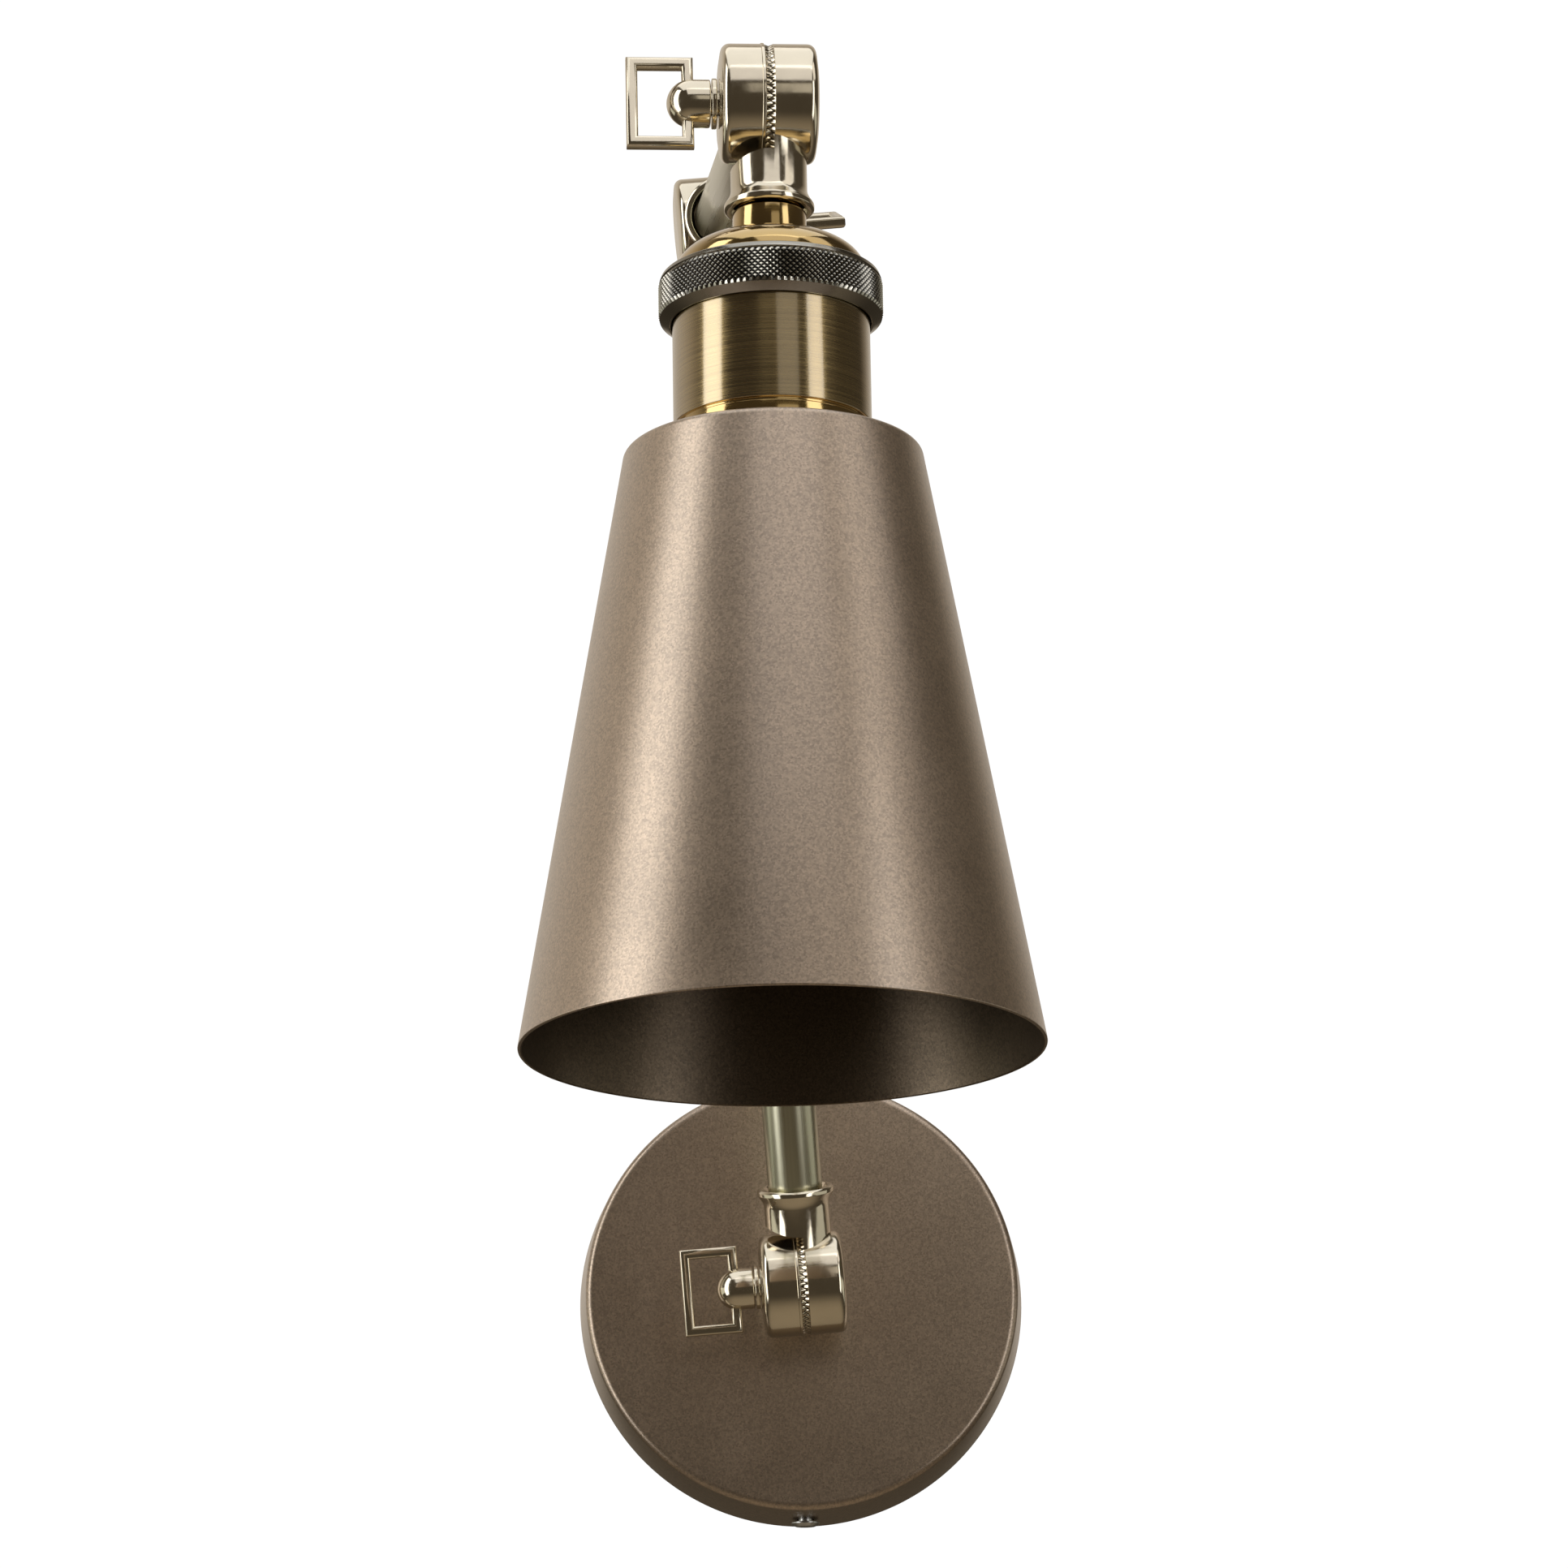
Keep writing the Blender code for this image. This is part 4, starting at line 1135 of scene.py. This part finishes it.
def build_screw_shell():
    """The rolled brass thread that takes the lamp, and the contact at its foot."""
    start = INSERT_FLOOR + GAP
    middle_r = (SCREW_SHELL_R + SCREW_SHELL_BORE) / 2
    half = 0.17 * MM
    out = thread_rows(middle_r + half, start, SCREW_SHELL_END, LAMP_PITCH, 0.36 * MM, 12)
    back = [(r - 2 * half, s, depth) for r, s, depth in out[::-1]]
    shape = threaded(out + back, ROUND, LAMP_PITCH)
    finished("lamp_screw_shell", shape, "pale_brass", HEAD, "head", sharp=SCREW_SHELL_SHARP)
    contact = [(0, start), (3.6 * MM, start, 0.2 * MM), (3.6 * MM, start + 1.3 * MM, 0.5 * MM)]
    contact += [(2.2 * MM, start + 3.1 * MM, 0.8 * MM), (0, start + 3.6 * MM)]
    finished("centre_contact", turned(filleted(contact), SMALL), "copper", HEAD, "head")


def dress_leads():
    """The leads stay as packed, inside the tubes, with the sheath's material."""
    for which in ("lower_arm", "upper_arm", "head"):
        lead = frame["nodes"][f"{which}_lead"]
        for slot in lead.material_slots:
            slot.material = LOOKS["lead_black"]


# Stage


def build_floor():
    """A wide pale floor a little below the light."""
    shape = bmesh.new()
    bmesh.ops.create_grid(shape, x_segments=FLOOR_CELLS, y_segments=FLOOR_CELLS, size=FLOOR_REACH)
    floor = made("floor", shape, None, moved(0, 0, FLOOR_Z))
    floor.data.materials.append(floor_paint())
    floor.visible_glossy = False
    floor.visible_diffuse = False
    return floor


def floor_paint():
    colour = (0.86, 0.86, 0.85)
    paint = new_material("floor_paint", colour, 0.0, 0.75, Emission_Strength=0.35)
    shader_input(paint, "Emission Color").default_value = (1, 1, 1, 1)
    toned(paint, colour, noise(paint, 3.0), 0.985, 1.01)
    return paint


def softbox(name, towards, distance, size, power, colour=(1, 1, 1)):
    """A rectangular soft light that faces the object's middle, from an azimuth and elevation."""
    light = bpy.data.lights.new(name, "AREA")
    light.shape = "RECTANGLE"
    light.size, light.size_y = size
    light.energy = power
    light.color = colour
    lamp = placed(name, light)
    aim = Vector(seen_from_camera(*towards)).normalized()
    lamp.location = LIGHT_CENTRE + aim * distance
    lamp.rotation_mode = "QUATERNION"
    lamp.rotation_quaternion = aim.to_track_quat("Z", "Y")
    return lamp


def seen_from_camera(azimuth, elevation):
    """A direction this many degrees right of the one to the camera, and above the horizon."""
    flat = radians(azimuth)
    rise = radians(elevation)
    return (sin(flat) * cos(rise), -cos(flat) * cos(rise), sin(rise))


def build_lights(floor):
    """Strips at the sides, a glow in front and a box overhead; the low ones leave the floor alone."""
    off_floor = [
        softbox("left_box", (-73, 8), 1.25, (0.55, 2.3), 11.2, (1.0, 0.985, 0.95)),
        softbox("right_box", (51, -2), 1.25, (0.42, 1.5), 4.2, (1.0, 0.975, 0.94)),
        softbox("low_glow", (18, 16), 1.6, (0.66, 0.5), 0.55, (1.0, 0.93, 0.8)),
        softbox("low_left", (-98, -11), 1.25, (1.1, 0.5), 1.1, (1.0, 1.0, 0.84)),
        softbox("low_right", (90, -12), 1.25, (1.3, 0.5), 0.95, (1.0, 0.98, 0.84)),
    ]
    softbox("right_fill", (70, 44), 1.25, (0.6, 0.6), 1.2, (1.0, 0.95, 0.9))
    softbox("front_glow", (10, 47), 1.6, (1.2, 0.9), 3.1, (1.0, 0.97, 0.96))
    softbox("top_box", (0, 88), 1.3, (1.5, 1.5), 8.0)
    spared = bpy.data.collections.new("spared_floor")
    spared.objects.link(floor)
    spared.collection_objects[0].light_linking.link_state = "EXCLUDE"
    for lamp in off_floor:
        lamp.light_linking.receiver_collection = spared


def graded(world, value, start, end, low, high):
    """A value carried smoothly from start..end to low..high."""
    grade = node(world, "ShaderNodeMapRange", From_Min=start, From_Max=end, To_Min=low, To_Max=high)
    grade.interpolation_type = "SMOOTHSTEP"
    link(world, value, grade.inputs["Value"])
    return grade.outputs["Result"]


def computed(world, operation, first, second):
    """One step of arithmetic on two values."""
    step = node(world, "ShaderNodeMath")
    step.operation = operation
    link(world, first, step.inputs[0])
    link(world, second, step.inputs[1])
    return step.outputs["Value"]


def build_world():
    """White to the camera; to the metal it is bright behind on the left, dim below and dark before."""
    world = bpy.data.worlds.new("studio")
    world.use_nodes = True
    bpy.context.scene.world = world
    world.node_tree.nodes.clear()
    out = node(world, "ShaderNodeOutputWorld")
    way = node(world, "ShaderNodeTexCoord").outputs["Generated"]
    side = node(world, "ShaderNodeVectorMath")
    side.operation = "DOT_PRODUCT"
    side.inputs[1].default_value = BRIGHT_SIDE
    link(world, way, side.inputs[0])
    height = node(world, "ShaderNodeSeparateXYZ")
    link(world, way, height.inputs[0])
    behind = graded(world, side.outputs["Value"], 0.05, 0.85, 0.0, WORLD_WALL)
    raised = graded(world, height.outputs["Z"], -0.15, 0.15, 0.0, 1.0)
    wall = computed(world, "MULTIPLY", behind, raised)
    low = graded(world, height.outputs["Z"], -1.0, -0.5, WORLD_LOW, WORLD_DARK)
    surround = node(world, "ShaderNodeBackground")
    link(world, computed(world, "MAXIMUM", wall, low), surround.inputs["Strength"])
    tone = node(world, "ShaderNodeValToRGB")
    tone.color_ramp.elements[0].color = (1, 0.8, 0.55, 1)
    tone.color_ramp.elements[1].color = (1, 0.95, 0.89, 1)
    link(world, wall, tone.inputs["Fac"])
    link(world, tone.outputs["Color"], surround.inputs["Color"])
    white = node(world, "ShaderNodeBackground", Color=(1, 1, 1, 1), Strength=BACKDROP)
    path = node(world, "ShaderNodeLightPath")
    choice = node(world, "ShaderNodeMixShader")
    link(world, path.outputs["Is Camera Ray"], choice.inputs["Fac"])
    link(world, surround.outputs["Background"], choice.inputs[1])
    link(world, white.outputs["Background"], choice.inputs[2])
    link(world, choice.outputs["Shader"], out.inputs["Surface"])


def build_camera():
    """A long lens a metre and a half away, below the shade and looking up a little."""
    data = bpy.data.cameras.new("camera")
    data.sensor_width = 36.0
    data.lens = LENS_MM
    data.clip_start, data.clip_end = 0.01, 50.0
    camera = placed("camera", data)
    upright = Matrix.Rotation(pi / 2, 4, "X")
    turn = Matrix.Rotation(CAMERA_YAW, 4, "Z") @ Matrix.Rotation(CAMERA_PITCH, 4, "X")
    turn = turn @ upright @ Matrix.Rotation(CAMERA_ROLL, 4, "Z")
    camera.matrix_world = Matrix.Translation(CAMERA_AT) @ turn
    bpy.context.scene.camera = camera


build_knuckles()
build_arm("lower_arm", LOWER_LENGTH, LOWER)
build_arm("upper_arm", UPPER_LENGTH, UPPER)
build_plate()
build_strap()
build_stem()
build_wiring()
build_nipple()
build_cap()
build_knurled_ring()
build_shell()
build_shade()
build_lamp_socket()
dress_leads()
build_lights(build_floor())
build_world()
build_camera()
bpy.context.scene.view_settings.view_transform = "Standard"
